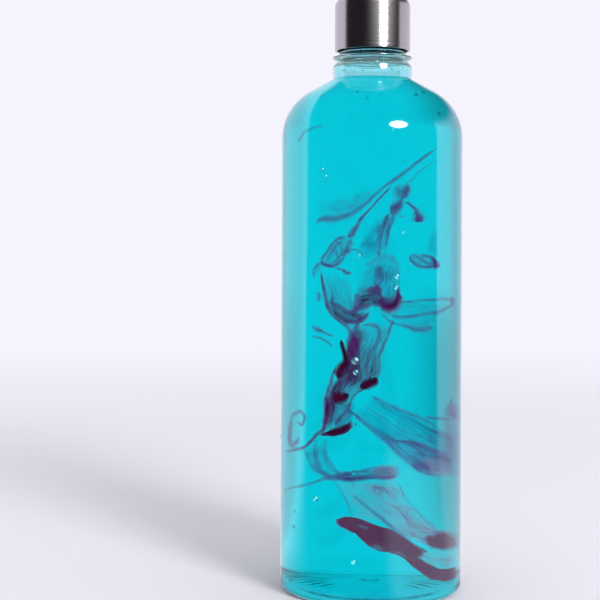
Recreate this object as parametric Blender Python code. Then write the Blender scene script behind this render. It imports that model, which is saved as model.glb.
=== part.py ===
"""A round clear plastic bottle with a metal-cased screw cap, filled with dyed liquid.

Units are metres and +Z is up. The origin is the centre of the base, on the surface that the
bottle stands on, and +Z runs along the bottle's axis. Every piece is turned about that axis.
The cap's pieces hang on an empty that lies on the screw's axis at the cap's lower edge.
"""

import math

import bmesh
import bpy

MM = 0.001

# Round body
BODY_RADIUS = 38.0 * MM
WALL = 0.8 * MM

# Shoulder: rounded over from the side into a cone that rises to the collar
SHOULDER_TOP_Z = 213.7 * MM
SHOULDER_ROUNDING = 22.2 * MM
SHOULDER_SLOPE = math.radians(28.8)

# Base: a flat standing ring round a shallow dome
BASE_CORNER_RADIUS = 3.2 * MM
BASE_WALL = 1.4 * MM
FOOT_WIDTH = 8.8 * MM
PUSH_UP_HEIGHT = 4.5 * MM

# Bore of the neck, and the walls that are measured out from it
BORE_RADIUS = 10.85 * MM
NECK_WALL = 3.05 * MM
GROOVE_WALL = 2.45 * MM
FINISH_WALL = 1.6 * MM

# Blown collar between the shoulder and the support ring
COLLAR_BULGE = 2.65 * MM
COLLAR_FILLET = 0.6 * MM
COLLAR_HEIGHT = 4.8 * MM
COLLAR_ROUND_HEIGHT = 2.5 * MM

# Support ring, the groove above it and the bead
RING_WIDTH = 2.8 * MM
RING_CONE_HEIGHT = 1.2 * MM
RING_EDGE_HEIGHT = 0.9 * MM
GROOVE_HEIGHT = 0.8 * MM
BEAD_DEPTH = 0.75 * MM
BEAD_HEIGHT = 1.3 * MM

# Threaded finish above the bead
FINISH_HEIGHT = 18.35 * MM
MOUTH_CHAMFER = 0.4 * MM

# Screw thread, single start and right handed
THREAD_DEPTH = 1.25 * MM
THREAD_PITCH = 3.18 * MM
THREAD_TURNS = 1.75
THREAD_CREST_WIDTH = 0.8 * MM
THREAD_FLANK_ANGLE = math.radians(25.0)
THREAD_BELOW_MOUTH = 2.6 * MM
THREAD_RUN_OUT_ANGLE = math.radians(36.0)
THREAD_ROOTED_DEPTH = 0.4 * MM
THREAD_CLEARANCE = 0.3 * MM

# Cap: a metal case over a plastic lining, with a loose disc that seals the mouth
CAP_ABOVE_BEAD = 0.45 * MM
CAP_CORNER_RADIUS = 4.0 * MM
SHELL_WALL = 0.35 * MM
HEM_WIDTH = 0.9 * MM
HEM_HEIGHT = 0.8 * MM
HEM_ROUNDING = 0.25 * MM
INSERT_WALL = 1.25 * MM
INSERT_ROOF = 1.0 * MM
INSERT_CHAMFER = 1.4 * MM
SEAL_THICKNESS = 2.4 * MM
SEAT_GAP = 0.3 * MM

# Contents
LIQUID_GAP = 0.3 * MM
LIQUID_BELOW_COLLAR = 0.6 * MM

# Radii worked out from the sizes above
FOOT_OUTER_RADIUS = BODY_RADIUS - BASE_CORNER_RADIUS
FOOT_INNER_RADIUS = FOOT_OUTER_RADIUS - FOOT_WIDTH
NECK_RADIUS = BORE_RADIUS + NECK_WALL
COLLAR_RADIUS = NECK_RADIUS + COLLAR_BULGE
RING_RADIUS = NECK_RADIUS + RING_WIDTH
GROOVE_RADIUS = BORE_RADIUS + GROOVE_WALL
FINISH_RADIUS = BORE_RADIUS + FINISH_WALL
THREAD_RADIUS = FINISH_RADIUS + THREAD_DEPTH
INSERT_BORE_RADIUS = THREAD_RADIUS + THREAD_CLEARANCE
INSERT_RADIUS = INSERT_BORE_RADIUS + INSERT_WALL
SHELL_BORE_RADIUS = INSERT_RADIUS + SEAT_GAP
CAP_RADIUS = SHELL_BORE_RADIUS + SHELL_WALL

# Shoulder's rounding and the collar's fillet, both tangent to the cone
SHOULDER_ROUND_RADIUS = BODY_RADIUS - SHOULDER_ROUNDING
CONE_RADIUS = SHOULDER_ROUND_RADIUS + SHOULDER_ROUNDING * math.sin(SHOULDER_SLOPE)
CONE_BASE_Z = SHOULDER_TOP_Z - (CONE_RADIUS - COLLAR_RADIUS) * math.tan(SHOULDER_SLOPE)
SHOULDER_BASE_Z = CONE_BASE_Z - SHOULDER_ROUNDING * math.cos(SHOULDER_SLOPE)
FILLET_RISE = COLLAR_FILLET * (1 - math.sin(SHOULDER_SLOPE)) / math.cos(SHOULDER_SLOPE)
FILLET_Z = SHOULDER_TOP_Z + FILLET_RISE

# Heights worked out from the sizes above
COLLAR_ROUND_Z = SHOULDER_TOP_Z + COLLAR_HEIGHT
COLLAR_TOP_Z = COLLAR_ROUND_Z + COLLAR_ROUND_HEIGHT
RING_EDGE_Z = COLLAR_TOP_Z + RING_CONE_HEIGHT
RING_TOP_Z = RING_EDGE_Z + RING_EDGE_HEIGHT
BEAD_BASE_Z = RING_TOP_Z + GROOVE_HEIGHT
BEAD_TOP_Z = BEAD_BASE_Z + BEAD_HEIGHT
MOUTH_Z = BEAD_TOP_Z + FINISH_HEIGHT
THREAD_BASE_Z = MOUTH_Z - THREAD_BELOW_MOUTH - THREAD_TURNS * THREAD_PITCH
LIQUID_LEVEL_Z = SHOULDER_TOP_Z - LIQUID_BELOW_COLLAR
CAP_BASE_Z = BEAD_TOP_Z + CAP_ABOVE_BEAD
SEAL_Z = MOUTH_Z + SEAT_GAP
CEILING_Z = SEAL_Z + SEAL_THICKNESS + SEAT_GAP
CAP_TOP_Z = CEILING_Z + INSERT_ROOF + SEAT_GAP + SHELL_WALL
CAP_HEIGHT = CAP_TOP_Z - CAP_BASE_Z

# Directions of an arc's ends: away from the axis, up, down, and round below to the axis
OUT = 0
UP = math.tau / 4
DOWN = -math.tau / 4
IN = -math.tau / 2

# Fineness of the mesh
SEGMENTS = 48
DOME_STEPS = 5
CORNER_STEPS = 5
SHOULDER_STEPS = 9
FILLET_STEPS = 2
NECK_STEPS = 4
CAP_STEPS = 6
MERGE_DISTANCE = 0.001 * MM
SHARP_ANGLE = math.radians(30.0)


def arc(centre, half_width, half_height, start, end, steps):
    """Points of an upright ellipse's arc about a centre, all as (radius, height)."""
    points = []
    for step in range(steps + 1):
        angle = start + (end - start) * step / steps
        radius = centre[0] + half_width * math.cos(angle)
        points.append((radius, centre[1] + half_height * math.sin(angle)))
    return points


def push_up(skin):
    """The dome under the base, from the axis out to the standing ring, raised by skin."""
    sphere = (FOOT_INNER_RADIUS**2 + PUSH_UP_HEIGHT**2) / (2 * PUSH_UP_HEIGHT)
    reach = math.asin(FOOT_INNER_RADIUS / sphere)
    centre = (0, PUSH_UP_HEIGHT - sphere + skin)
    return arc(centre, sphere, sphere, UP, UP - reach, DOME_STEPS)


def body_side(wall, floor, end=IN):
    """The body's side from the standing ring to the collar, drawn in by a wall and a floor.

    The end is the angle at which the fillet under the collar stops.
    """
    corner_centre = (FOOT_OUTER_RADIUS, BASE_CORNER_RADIUS)
    corner_width = BASE_CORNER_RADIUS - wall
    corner_height = BASE_CORNER_RADIUS - floor
    shoulder_centre = (SHOULDER_ROUND_RADIUS, SHOULDER_BASE_Z)
    rounding = SHOULDER_ROUNDING - wall
    fillet_centre = (COLLAR_RADIUS + COLLAR_FILLET, FILLET_Z)
    fillet = COLLAR_FILLET + wall
    return [
        *arc(corner_centre, corner_width, corner_height, DOWN, OUT, CORNER_STEPS),
        *arc(shoulder_centre, rounding, rounding, OUT, UP - SHOULDER_SLOPE, SHOULDER_STEPS),
        *arc(fillet_centre, fillet, fillet, DOWN - SHOULDER_SLOPE, end, FILLET_STEPS),
    ]


def finish_side():
    """The neck's outer side from the collar's rounding to the mouth's outer edge."""
    round_centre = (NECK_RADIUS, COLLAR_ROUND_Z)
    bead_centre = (GROOVE_RADIUS, BEAD_BASE_Z + BEAD_HEIGHT / 2)
    return [
        *arc(round_centre, COLLAR_BULGE, COLLAR_ROUND_HEIGHT, OUT, UP, NECK_STEPS),
        (RING_RADIUS, RING_EDGE_Z),
        (RING_RADIUS, RING_TOP_Z),
        (GROOVE_RADIUS, RING_TOP_Z),
        *arc(bead_centre, BEAD_DEPTH, BEAD_HEIGHT / 2, DOWN, UP, NECK_STEPS),
        (FINISH_RADIUS, BEAD_TOP_Z),
        (FINISH_RADIUS, MOUTH_Z - MOUTH_CHAMFER),
        (FINISH_RADIUS - MOUTH_CHAMFER, MOUTH_Z),
    ]


def bottle_outline():
    """The bottle's wall: out under the base, up the outside, and down the inside to the axis."""
    round_centre = (BORE_RADIUS, COLLAR_ROUND_Z)
    round_width = COLLAR_RADIUS - WALL - BORE_RADIUS
    inside = [*push_up(BASE_WALL), *body_side(WALL, BASE_WALL)]
    return [
        *push_up(0),
        *body_side(0, 0),
        *finish_side(),
        (BORE_RADIUS + MOUTH_CHAMFER, MOUTH_Z),
        (BORE_RADIUS, MOUTH_Z - MOUTH_CHAMFER),
        *arc(round_centre, round_width, COLLAR_ROUND_HEIGHT - WALL, UP, OUT, NECK_STEPS),
        *reversed(inside),
    ]


def liquid_outline():
    """The contents, a gap inside the wall all round, with a level top at the collar's foot."""
    wall = WALL + LIQUID_GAP
    floor = BASE_WALL + LIQUID_GAP
    brim = IN + math.asin((FILLET_Z - LIQUID_LEVEL_Z) / (COLLAR_FILLET + wall))
    return [*push_up(floor), *body_side(wall, floor, brim), (0, LIQUID_LEVEL_Z)]


def shell_outline():
    """The cap's metal case: a cup open below, with its lower edge folded in as a hem."""
    centre = (CAP_RADIUS - CAP_CORNER_RADIUS, CAP_HEIGHT - CAP_CORNER_RADIUS)
    inner_round = CAP_CORNER_RADIUS - SHELL_WALL
    hem_radius = CAP_RADIUS - HEM_WIDTH
    return [
        (0, CAP_HEIGHT),
        *arc(centre, CAP_CORNER_RADIUS, CAP_CORNER_RADIUS, UP, OUT, CAP_STEPS),
        (CAP_RADIUS, HEM_ROUNDING),
        (CAP_RADIUS - HEM_ROUNDING, 0),
        (hem_radius + HEM_ROUNDING, 0),
        (hem_radius, HEM_ROUNDING),
        (hem_radius, HEM_HEIGHT),
        (SHELL_BORE_RADIUS, HEM_HEIGHT),
        *arc(centre, inner_round, inner_round, OUT, UP, CAP_STEPS),
        (0, CAP_HEIGHT - SHELL_WALL),
    ]


def insert_outline():
    """The cap's plastic lining: a cup open below, seated inside the case and above its hem."""
    centre = (CAP_RADIUS - CAP_CORNER_RADIUS, CAP_HEIGHT - CAP_CORNER_RADIUS)
    outer_round = CAP_CORNER_RADIUS - SHELL_WALL - SEAT_GAP
    skirt = HEM_HEIGHT + SEAT_GAP
    ceiling = CEILING_Z - CAP_BASE_Z
    return [
        (0, ceiling + INSERT_ROOF),
        *arc(centre, outer_round, outer_round, UP, OUT, CAP_STEPS),
        (INSERT_RADIUS, skirt),
        (INSERT_BORE_RADIUS, skirt),
        (INSERT_BORE_RADIUS, ceiling - INSERT_CHAMFER),
        (INSERT_BORE_RADIUS - INSERT_CHAMFER, ceiling),
        (0, ceiling),
    ]


def seal_outline():
    """The loose disc that closes the mouth."""
    return [(0, SEAL_THICKNESS), (FINISH_RADIUS, SEAL_THICKNESS), (FINISH_RADIUS, 0), (0, 0)]


def finished_mesh(name, shape):
    """A smooth-shaded mesh from a bmesh, with doubled points merged and its faces pointing out."""
    bmesh.ops.remove_doubles(shape, verts=shape.verts[:], dist=MERGE_DISTANCE)
    bmesh.ops.recalc_face_normals(shape, faces=shape.faces[:])
    mesh = bpy.data.meshes.new(name)
    shape.to_mesh(mesh)
    shape.free()
    mesh.shade_smooth()
    mesh.set_sharp_from_angle(angle=SHARP_ANGLE)
    return mesh


def turned_mesh(name, outline):
    """An outline of (radius, height) points that starts and ends on the axis, spun about Z."""
    shape = bmesh.new()
    corners = [shape.verts.new((radius, 0, height)) for radius, height in outline]
    for first, second in zip(corners, corners[1:]):
        shape.edges.new((first, second))
    bmesh.ops.spin(
        shape,
        geom=shape.verts[:] + shape.edges[:],
        axis=(0, 0, 1),
        cent=(0, 0, 0),
        angle=math.tau,
        steps=SEGMENTS,
        use_merge=True,
    )
    return finished_mesh(name, shape)


def thread_half_width(radius):
    """Half the axial width of the bottle's thread at a radius."""
    return THREAD_CREST_WIDTH / 2 + (THREAD_RADIUS - radius) * math.tan(THREAD_FLANK_ANGLE)


def cap_thread_half_width(radius):
    """Half the axial width of the cap's thread, which fills the bottle's groove but for a clearance."""
    return THREAD_PITCH / 2 - THREAD_CLEARANCE - thread_half_width(radius)


def thread_mesh(name, root, crest, half_width, base_z):
    """A helical ridge from a root radius to a crest radius, rooted in the wall that carries it.

    Both ends dive into the wall over the run-out angle, so the crest fades as it does on a moulding.
    """
    inward = math.copysign(THREAD_ROOTED_DEPTH, root - crest)
    rooted = root + inward
    buried = root + inward / 2
    steps = round(THREAD_TURNS * SEGMENTS)
    shape = bmesh.new()
    rings = []
    for step in range(steps + 1):
        angle = math.tau * step / SEGMENTS
        from_end = math.tau * min(step, steps - step) / SEGMENTS
        top = buried + (crest - buried) * min(from_end / THREAD_RUN_OUT_ANGLE, 1)
        middle = base_z + THREAD_PITCH * step / SEGMENTS
        section = [
            (rooted, middle - half_width(rooted)),
            (top, middle - half_width(top)),
            (top, middle + half_width(top)),
            (rooted, middle + half_width(rooted)),
        ]
        turned = [(r * math.cos(angle), r * math.sin(angle), z) for r, z in section]
        rings.append([shape.verts.new(corner) for corner in turned])
    for first, second in zip(rings, rings[1:]):
        for corner in range(len(first)):
            after = (corner + 1) % len(first)
            shape.faces.new((first[corner], first[after], second[after], second[corner]))
    shape.faces.new(rings[0])
    shape.faces.new(rings[-1])
    return finished_mesh(name, shape)


def plain_material(name, colour, roughness, metallic=0.0, transmission=0.0, ior=1.5):
    """A Principled material of one colour."""
    material = bpy.data.materials.new(name)
    material.use_nodes = True
    material.diffuse_color = (*colour, 1)
    shader = material.node_tree.nodes["Principled BSDF"]
    shader.inputs["Base Color"].default_value = (*colour, 1)
    shader.inputs["Roughness"].default_value = roughness
    shader.inputs["Metallic"].default_value = metallic
    shader.inputs["Transmission Weight"].default_value = transmission
    shader.inputs["IOR"].default_value = ior
    return material


def placed(mesh, material, parent=None, height=0.0):
    """An object that shows a mesh under the mesh's name, at a height above its parent's origin."""
    piece = bpy.data.objects.new(mesh.name, mesh)
    bpy.context.scene.collection.objects.link(piece)
    piece.parent = parent
    piece.location = (0, 0, height)
    mesh.materials.append(material)
    return piece


def add_thread(piece, ridge):
    """Join a helical ridge to the wall that carries it, and leave the ridge itself as a guide."""
    ridge.hide_render = True
    ridge.display_type = "WIRE"
    join = piece.modifiers.new("thread", "BOOLEAN")
    join.operation = "UNION"
    join.solver = "EXACT"
    join.object = ridge


def make_bottle():
    """The bottle with its moulded thread."""
    clear = plain_material("clear_plastic", (0.72, 0.90, 0.93), 0.05, transmission=1.0, ior=1.57)
    bottle = placed(turned_mesh("bottle_body", bottle_outline()), clear)
    ridge = thread_mesh(
        "bottle_thread", FINISH_RADIUS, THREAD_RADIUS, thread_half_width, THREAD_BASE_Z
    )
    add_thread(bottle, placed(ridge, clear, bottle))
    return bottle


def make_liquid(bottle):
    """The dyed liquid that fills the bottle to its neck."""
    dyed = plain_material("dyed_liquid", (0.0, 0.55, 0.66), 0.02, transmission=0.8, ior=1.33)
    placed(turned_mesh("liquid", liquid_outline()), dyed, bottle)


def make_cap(bottle):
    """The screw cap's pieces, on an empty that lies on the screw's axis."""
    axis = bpy.data.objects.new("cap_axis", None)
    bpy.context.scene.collection.objects.link(axis)
    axis.parent = bottle
    axis.location = (0, 0, CAP_BASE_Z)

    steel = plain_material("brushed_steel", (0.50, 0.48, 0.50), 0.28, metallic=1.0)
    plastic = plain_material("cap_plastic", (0.02, 0.02, 0.02), 0.45)
    foam = plain_material("seal_foam", (0.80, 0.80, 0.78), 0.60)

    placed(turned_mesh("cap_shell", shell_outline()), steel, axis)
    insert = placed(turned_mesh("cap_insert", insert_outline()), plastic, axis)
    crest = FINISH_RADIUS + THREAD_CLEARANCE
    base_z = THREAD_BASE_Z - THREAD_PITCH / 2 - CAP_BASE_Z
    ridge = thread_mesh("cap_thread", INSERT_BORE_RADIUS, crest, cap_thread_half_width, base_z)
    add_thread(insert, placed(ridge, plastic, axis))
    placed(turned_mesh("cap_seal", seal_outline()), foam, axis, SEAL_Z - CAP_BASE_Z)


def main():
    """Empty the scene and build the bottle, its contents and its cap."""
    for old in list(bpy.data.objects):
        bpy.data.objects.remove(old, do_unlink=True)
    bottle = make_bottle()
    make_liquid(bottle)
    make_cap(bottle)


main()
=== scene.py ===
"""The looks of a round clear plastic bottle, full of dyed liquid, under a brushed metal screw cap.

The frame holds the bottle, its contents and its cap at their real size, in metres, with +Z up and
the centre of the base at the origin. This script turns a finer wall, case and body of liquid than
the frame's, adds the ink that swirls in the liquid, the bubbles and the drops in the neck, gives
every piece its finish, and sets a pale studio and the camera.
"""

import logging
import math
from collections.abc import Sequence
from dataclasses import dataclass
from enum import Enum
from functools import cache, partial, reduce

import bmesh
import bpy
from mathutils import Matrix, Vector, noise


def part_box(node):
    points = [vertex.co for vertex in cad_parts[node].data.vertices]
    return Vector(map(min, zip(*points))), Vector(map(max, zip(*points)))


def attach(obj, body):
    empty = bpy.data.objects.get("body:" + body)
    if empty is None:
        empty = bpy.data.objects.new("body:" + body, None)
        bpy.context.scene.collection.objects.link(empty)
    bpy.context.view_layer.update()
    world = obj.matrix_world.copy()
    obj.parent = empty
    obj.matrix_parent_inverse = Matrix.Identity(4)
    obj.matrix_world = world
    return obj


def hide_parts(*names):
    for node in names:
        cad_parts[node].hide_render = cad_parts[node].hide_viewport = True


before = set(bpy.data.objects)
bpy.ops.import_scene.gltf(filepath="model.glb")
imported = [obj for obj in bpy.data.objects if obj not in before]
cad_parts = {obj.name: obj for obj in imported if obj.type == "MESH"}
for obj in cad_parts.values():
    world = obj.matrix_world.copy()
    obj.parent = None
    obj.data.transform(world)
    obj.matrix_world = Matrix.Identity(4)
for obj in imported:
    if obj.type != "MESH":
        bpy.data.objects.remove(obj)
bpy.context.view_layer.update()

LOG = logging.getLogger("plastic_bottle")

MM = 0.001
SHARP_ANGLE = math.radians(35.0)
MERGE_DISTANCE = 0.0005 * MM

# The ink drifts from these seeds: the noise's own, and a step for each plume and each part of one.
INK_SEED = 7
PLUME_STEP = 7.3
PART_STEP = 1.37

Colour = tuple[float, float, float]
Point = tuple[float, float]
Spot = tuple[float, float, float]
Number = bpy.types.NodeSocket | float
Shade = bpy.types.NodeSocket | Colour

BLACK = (0.0, 0.0, 0.0)
WHITE = (1.0, 1.0, 1.0)


class Way(Enum):
    """Directions of an arc's ends in the plane of radius and height."""

    OUT = 0.0
    UP = math.tau / 4
    DOWN = -math.tau / 4
    IN = -math.tau / 2


class Body(Enum):
    """The frame's bodies, which pieces ride on."""

    BOTTLE = "bottle"
    CAP = "cap"


def arc(
    centre: Point, half_width: float, half_height: float, start: float, end: float, steps: int
) -> list[Point]:
    """Find points along an upright ellipse's arc.

    Args:
        centre: radius and height of the ellipse's centre.
        half_width: half of the ellipse's width, along the radius.
        half_height: half of its height.
        start: angle of the first point.
        end: angle of the last point.
        steps: how many stretches the arc is cut into.

    Returns:
        The points as (radius, height).
    """
    angles = [start + (end - start) * step / steps for step in range(steps + 1)]
    across, up = centre
    return [(across + half_width * math.cos(angle), up + half_height * math.sin(angle)) for angle in angles]


def softened(outline: Sequence[Point], cut: float, steps: int = 3) -> list[Point]:
    """Round every sharp corner of an outline.

    Args:
        outline: points as (radius, height).
        cut: how far each corner is cut back along both its sides.
        steps: how many stretches each rounding has.

    Returns:
        The outline with its corners rounded, and without doubled points.
    """
    clean = [Vector(outline[0])]
    for point in outline[1:]:
        if (Vector(point) - clean[-1]).length > MERGE_DISTANCE:
            clean.append(Vector(point))
    soft = [clean[0]]
    for before, corner, after in zip(clean, clean[1:], clean[2:]):
        came, goes = corner - before, after - corner
        if came.angle(goes) < SHARP_ANGLE:
            soft.append(corner)
            continue
        reach = min(cut, came.length / 3, goes.length / 3)
        start, end = corner - came.normalized() * reach, corner + goes.normalized() * reach
        for step in range(steps + 1):
            share = step / steps
            soft.append(start.lerp(corner, share).lerp(corner.lerp(end, share), share))
    soft.append(clean[-1])
    return [(point.x, point.y) for point in soft]


def finished_mesh(name: str, shape: bmesh.types.BMesh) -> bpy.types.Mesh:
    """Turn a bmesh into a smooth-shaded mesh.

    Args:
        name: the mesh's name.
        shape: the bmesh, which is freed.

    Returns:
        The mesh, its doubled points merged and its faces pointing out.
    """
    bmesh.ops.remove_doubles(shape, verts=shape.verts[:], dist=MERGE_DISTANCE)
    bmesh.ops.recalc_face_normals(shape, faces=shape.faces[:])
    mesh = bpy.data.meshes.new(name)
    shape.to_mesh(mesh)
    shape.free()
    mesh.shade_smooth()
    mesh.set_sharp_from_angle(angle=SHARP_ANGLE)
    return mesh


def turned_mesh(name: str, outline: Sequence[Point], segments: int) -> bpy.types.Mesh:
    """Spin an outline about the bottle's axis.

    Args:
        name: the mesh's name.
        outline: points as (radius, height), from the axis to the axis.
        segments: how many steps the full turn has.

    Returns:
        The closed mesh.
    """
    shape = bmesh.new()
    corners = [shape.verts.new((radius, 0, height)) for radius, height in outline]
    for first, second in zip(corners, corners[1:]):
        shape.edges.new((first, second))
    bmesh.ops.spin(
        shape,
        geom=shape.verts[:] + shape.edges[:],
        axis=(0, 0, 1),
        cent=(0, 0, 0),
        angle=math.tau,
        steps=segments,
        use_merge=True,
    )
    return finished_mesh(name, shape)


def placed(
    mesh: bpy.types.Mesh, finish: bpy.types.Material, body: Body
) -> bpy.types.Object:
    """Show a mesh as a piece that rides on a body.

    Args:
        mesh: the piece's mesh, in place, whose name the piece takes.
        finish: its material.
        body: the body it rides on.

    Returns:
        The piece.
    """
    piece = bpy.data.objects.new(mesh.name, mesh)
    bpy.context.scene.collection.objects.link(piece)
    mesh.materials.clear()
    mesh.materials.append(finish)
    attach(piece, body.value)
    LOG.info("%s: %d faces on %s", piece.name, len(mesh.polygons), body.value)
    return piece


def graded(values: Sequence[float], share: float) -> float:
    """Read a value from an evenly spaced row of values.

    Args:
        values: the row, two or more.
        share: from 0 at its first to 1 at its last.

    Returns:
        The value there, eased from each value to the next.
    """
    place = min(max(share, 0.0), 1.0) * (len(values) - 1)
    index = min(int(place), len(values) - 2)
    step = place - index
    step = step * step * (3 - 2 * step)
    return values[index] * (1 - step) + values[index + 1] * step


def flowing(spots: Sequence[Spot], share: float) -> Spot:
    """Find the place on a smooth curve through spots, at a share of the way along it.

    Args:
        spots: what the curve goes through, two or more.
        share: from 0 at the first to 1 at the last.

    Returns:
        The spot on the curve.
    """
    place = min(max(share, 0.0), 1.0) * (len(spots) - 1)
    index = min(int(place), len(spots) - 2)
    t = place - index
    here, there = Vector(spots[index]), Vector(spots[index + 1])
    before = Vector(spots[index - 1]) if index else here * 2 - there
    after = Vector(spots[index + 2]) if index + 2 < len(spots) else there * 2 - here
    leave, arrive = (there - before) / 2, (after - here) / 2
    curve = (
        here * (2 * t**3 - 3 * t**2 + 1)
        + leave * (t**3 - 2 * t**2 + t)
        + there * (3 * t**2 - 2 * t**3)
        + arrive * (t**3 - t**2)
    )
    return (curve.x, curve.y, curve.z)


class Board:
    """A material's or the world's nodes, with short calls to lay them out."""

    def __init__(self, owner: bpy.types.Material | bpy.types.World) -> None:
        """Start an empty board on a material or world."""
        owner.use_nodes = True
        self.tree = owner.node_tree
        self.tree.nodes.clear()

    def add(self, kind: str, values: dict | None = None, **settings: object) -> bpy.types.Node:
        """Add a node.

        Args:
            kind: the node's type, without its ShaderNode prefix.
            values: what to put on its input sockets, or which output to join to them.
            settings: the node's own settings.

        Returns:
            The node.
        """
        node = self.tree.nodes.new("ShaderNode" + kind)
        for name, value in settings.items():
            setattr(node, name, value)
        for name, value in (values or {}).items():
            socket = node.inputs[name]
            if isinstance(value, bpy.types.NodeSocket):
                self.tree.links.new(value, socket)
            else:
                socket.default_value = (*value, 1) if socket.type == "RGBA" else value
        return node

    def reckon(self, operation: str, first: Number, second: Number) -> bpy.types.NodeSocket:
        """Work out one number from two and give the output."""
        return self.add("Math", {0: first, 1: second}, operation=operation).outputs[0]

    def product(self, *numbers: Number) -> bpy.types.NodeSocket:
        """Multiply numbers and give the output."""
        return reduce(partial(self.reckon, "MULTIPLY"), numbers)

    def largest(self, *numbers: Number) -> bpy.types.NodeSocket:
        """Find the largest of some numbers and give the output."""
        return reduce(partial(self.reckon, "MAXIMUM"), numbers)

    def capped(self, number: Number, most: float = 1.0) -> bpy.types.NodeSocket:
        """Hold a number down to a limit and give the output."""
        return self.reckon("MINIMUM", number, most)

    def rest_of(self, share: Number) -> bpy.types.NodeSocket:
        """Find what a share leaves of one and give the output."""
        return self.reckon("SUBTRACT", 1.0, share)

    def ranged(
        self, value: Number, low: float, high: float, to_low: Number = 0.0, to_high: Number = 1.0
    ) -> bpy.types.NodeSocket:
        """Map a number smoothly from one range onto another and give the output."""
        ends = {"Value": value, "From Min": low, "From Max": high, "To Min": to_low, "To Max": to_high}
        return self.add("MapRange", ends, interpolation_type="SMOOTHSTEP").outputs["Result"]

    def stepped(self, value: Number, stops: Sequence[tuple[float, Colour]]) -> bpy.types.NodeSocket:
        """Colour a number between 0 and 1 by stops and give the output.

        Args:
            value: the number.
            stops: where each colour is, in order, and the colour.

        Returns:
            The colour.
        """
        node = self.add("ValToRGB", {"Fac": value})
        elements = node.color_ramp.elements
        elements.remove(elements[1])
        for index, (place, colour) in enumerate(stops):
            element = elements.new(place) if index else elements[0]
            element.position = place
            element.color = (*colour, 1)
        return node.outputs["Color"]

    def blended(self, share: Number, first: Shade, second: Shade) -> bpy.types.NodeSocket:
        """Mix two colours and give the output."""
        return self.add("Mix", {0: share, 6: first, 7: second}, data_type="RGBA").outputs[2]

    def place(self) -> bpy.types.NodeSocket:
        """Give the place on the piece in its own coordinates."""
        return self.add("TexCoord").outputs["Object"]

    def facing(self, direction: bpy.types.NodeSocket, way: Spot | Vector) -> bpy.types.NodeSocket:
        """Find how far a direction points one way, from -1 to 1, and give the output."""
        return self.add("VectorMath", {0: direction, 1: way}, operation="DOT_PRODUCT").outputs["Value"]

    def length(self, place: bpy.types.NodeSocket) -> bpy.types.NodeSocket:
        """Find how far a place is from the origin and give the output."""
        return self.add("VectorMath", {0: place}, operation="LENGTH").outputs["Value"]

    def stretched(self, place: bpy.types.NodeSocket, scale: Spot) -> bpy.types.NodeSocket:
        """Scale the coordinates of a pattern and give the output."""
        return self.add("Mapping", {"Vector": place, "Scale": scale}).outputs["Vector"]

    def cloudy(
        self, place: bpy.types.NodeSocket, scale: float = 1.0, detail: float = 1.0, twist: float = 0.0
    ) -> bpy.types.NodeSocket:
        """Lay out a noise pattern.

        Args:
            place: the coordinates that it follows.
            scale: how small it is.
            detail: how many finer patterns lie in it.
            twist: how far it is distorted.

        Returns:
            Its value, from 0 to 1.
        """
        values = {"Vector": place, "Scale": scale, "Detail": detail, "Distortion": twist}
        return self.add("TexNoise", values).outputs[0]

    def bumped(self, height: Number, depth: float, strength: float) -> bpy.types.NodeSocket:
        """Raise the surface by a pattern and give its normal."""
        values = {"Height": height, "Distance": depth, "Strength": strength}
        return self.add("Bump", values).outputs["Normal"]

    def surface(self, shader: bpy.types.Node) -> bpy.types.Node:
        """Show a shader on the material's surface and give the output's node."""
        return self.add("OutputMaterial", {"Surface": shader.outputs[0]})

    def dressed(self, values: dict) -> bpy.types.Node:
        """Show a Principled shader with these values and give the output's node."""
        return self.surface(self.add("BsdfPrincipled", values))


def new_board(name: str) -> tuple[bpy.types.Material, Board]:
    """Make a material with an empty board."""
    material = bpy.data.materials.new(name)
    return material, Board(material)


@dataclass(frozen=True)
class ClearPlastic:
    """Blown plastic: glossy and clear, a little tinted, with the faint ripple of a blown wall.

    The collar's rounded top and the ring carry a faint painted glow, standing in for light that the thick
    plastic scatters. The thick neck above them is greyer, and what stands in the cap is tinted dark, a
    painted shade for the cap's dark lining behind it.
    """

    name: str = "clear_plastic"
    tint: Colour = (0.53, 0.885, 0.92)
    roughness: float = 0.0
    refraction: float = 1.57
    ripple_across: float = 55.0
    ripple_up: float = 9.0
    ripple_depth: float = 0.05 * MM
    neck_tint: Colour = (0.50, 0.77, 0.81)
    # Painted shade: the dark colour that the plastic inside the cap is tinted, for the shade of the cap's
    # lining.
    under_cap_shade_tint: Colour = (0.20, 0.29, 0.32)
    # Painted glow: the faint light that the collar's top and the ring give off.
    painted_glow_tint: Colour = (0.065, 0.09, 0.09)
    collar_rise: Point = (218.4 * MM, 219.8 * MM)
    neck_rise: Point = (222.4 * MM, 223.2 * MM)
    under_cap_shade_rise: Point = (226.0 * MM, 226.4 * MM)

    def material(self) -> bpy.types.Material:
        """Make the material."""
        material, board = new_board(self.name)
        place = board.place()
        blown = board.stretched(place, (self.ripple_across, self.ripple_across, self.ripple_up))
        height = board.add("SeparateXYZ", {0: place}).outputs["Z"]
        collar = board.ranged(height, *self.collar_rise)
        neck = board.ranged(height, *self.neck_rise)
        # Painted shade: the plastic that stands inside the cap is tinted dark.
        under_cap_shade = board.ranged(height, *self.under_cap_shade_rise)
        tint = board.blended(neck, self.tint, self.neck_tint)
        # Painted glow on the collar's top and the ring, fading out at the top of the ring.
        glow = board.product(collar, board.rest_of(neck))
        board.dressed(
            {
                "Base Color": board.blended(under_cap_shade, tint, self.under_cap_shade_tint),
                "Emission Color": board.blended(glow, BLACK, self.painted_glow_tint),
                "Emission Strength": 1.0,
                "Roughness": self.roughness,
                "IOR": self.refraction,
                "Transmission Weight": 1.0,
                "Normal": board.bumped(board.cloudy(blown), self.ripple_depth, 1.0),
            }
        )
        return material


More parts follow.
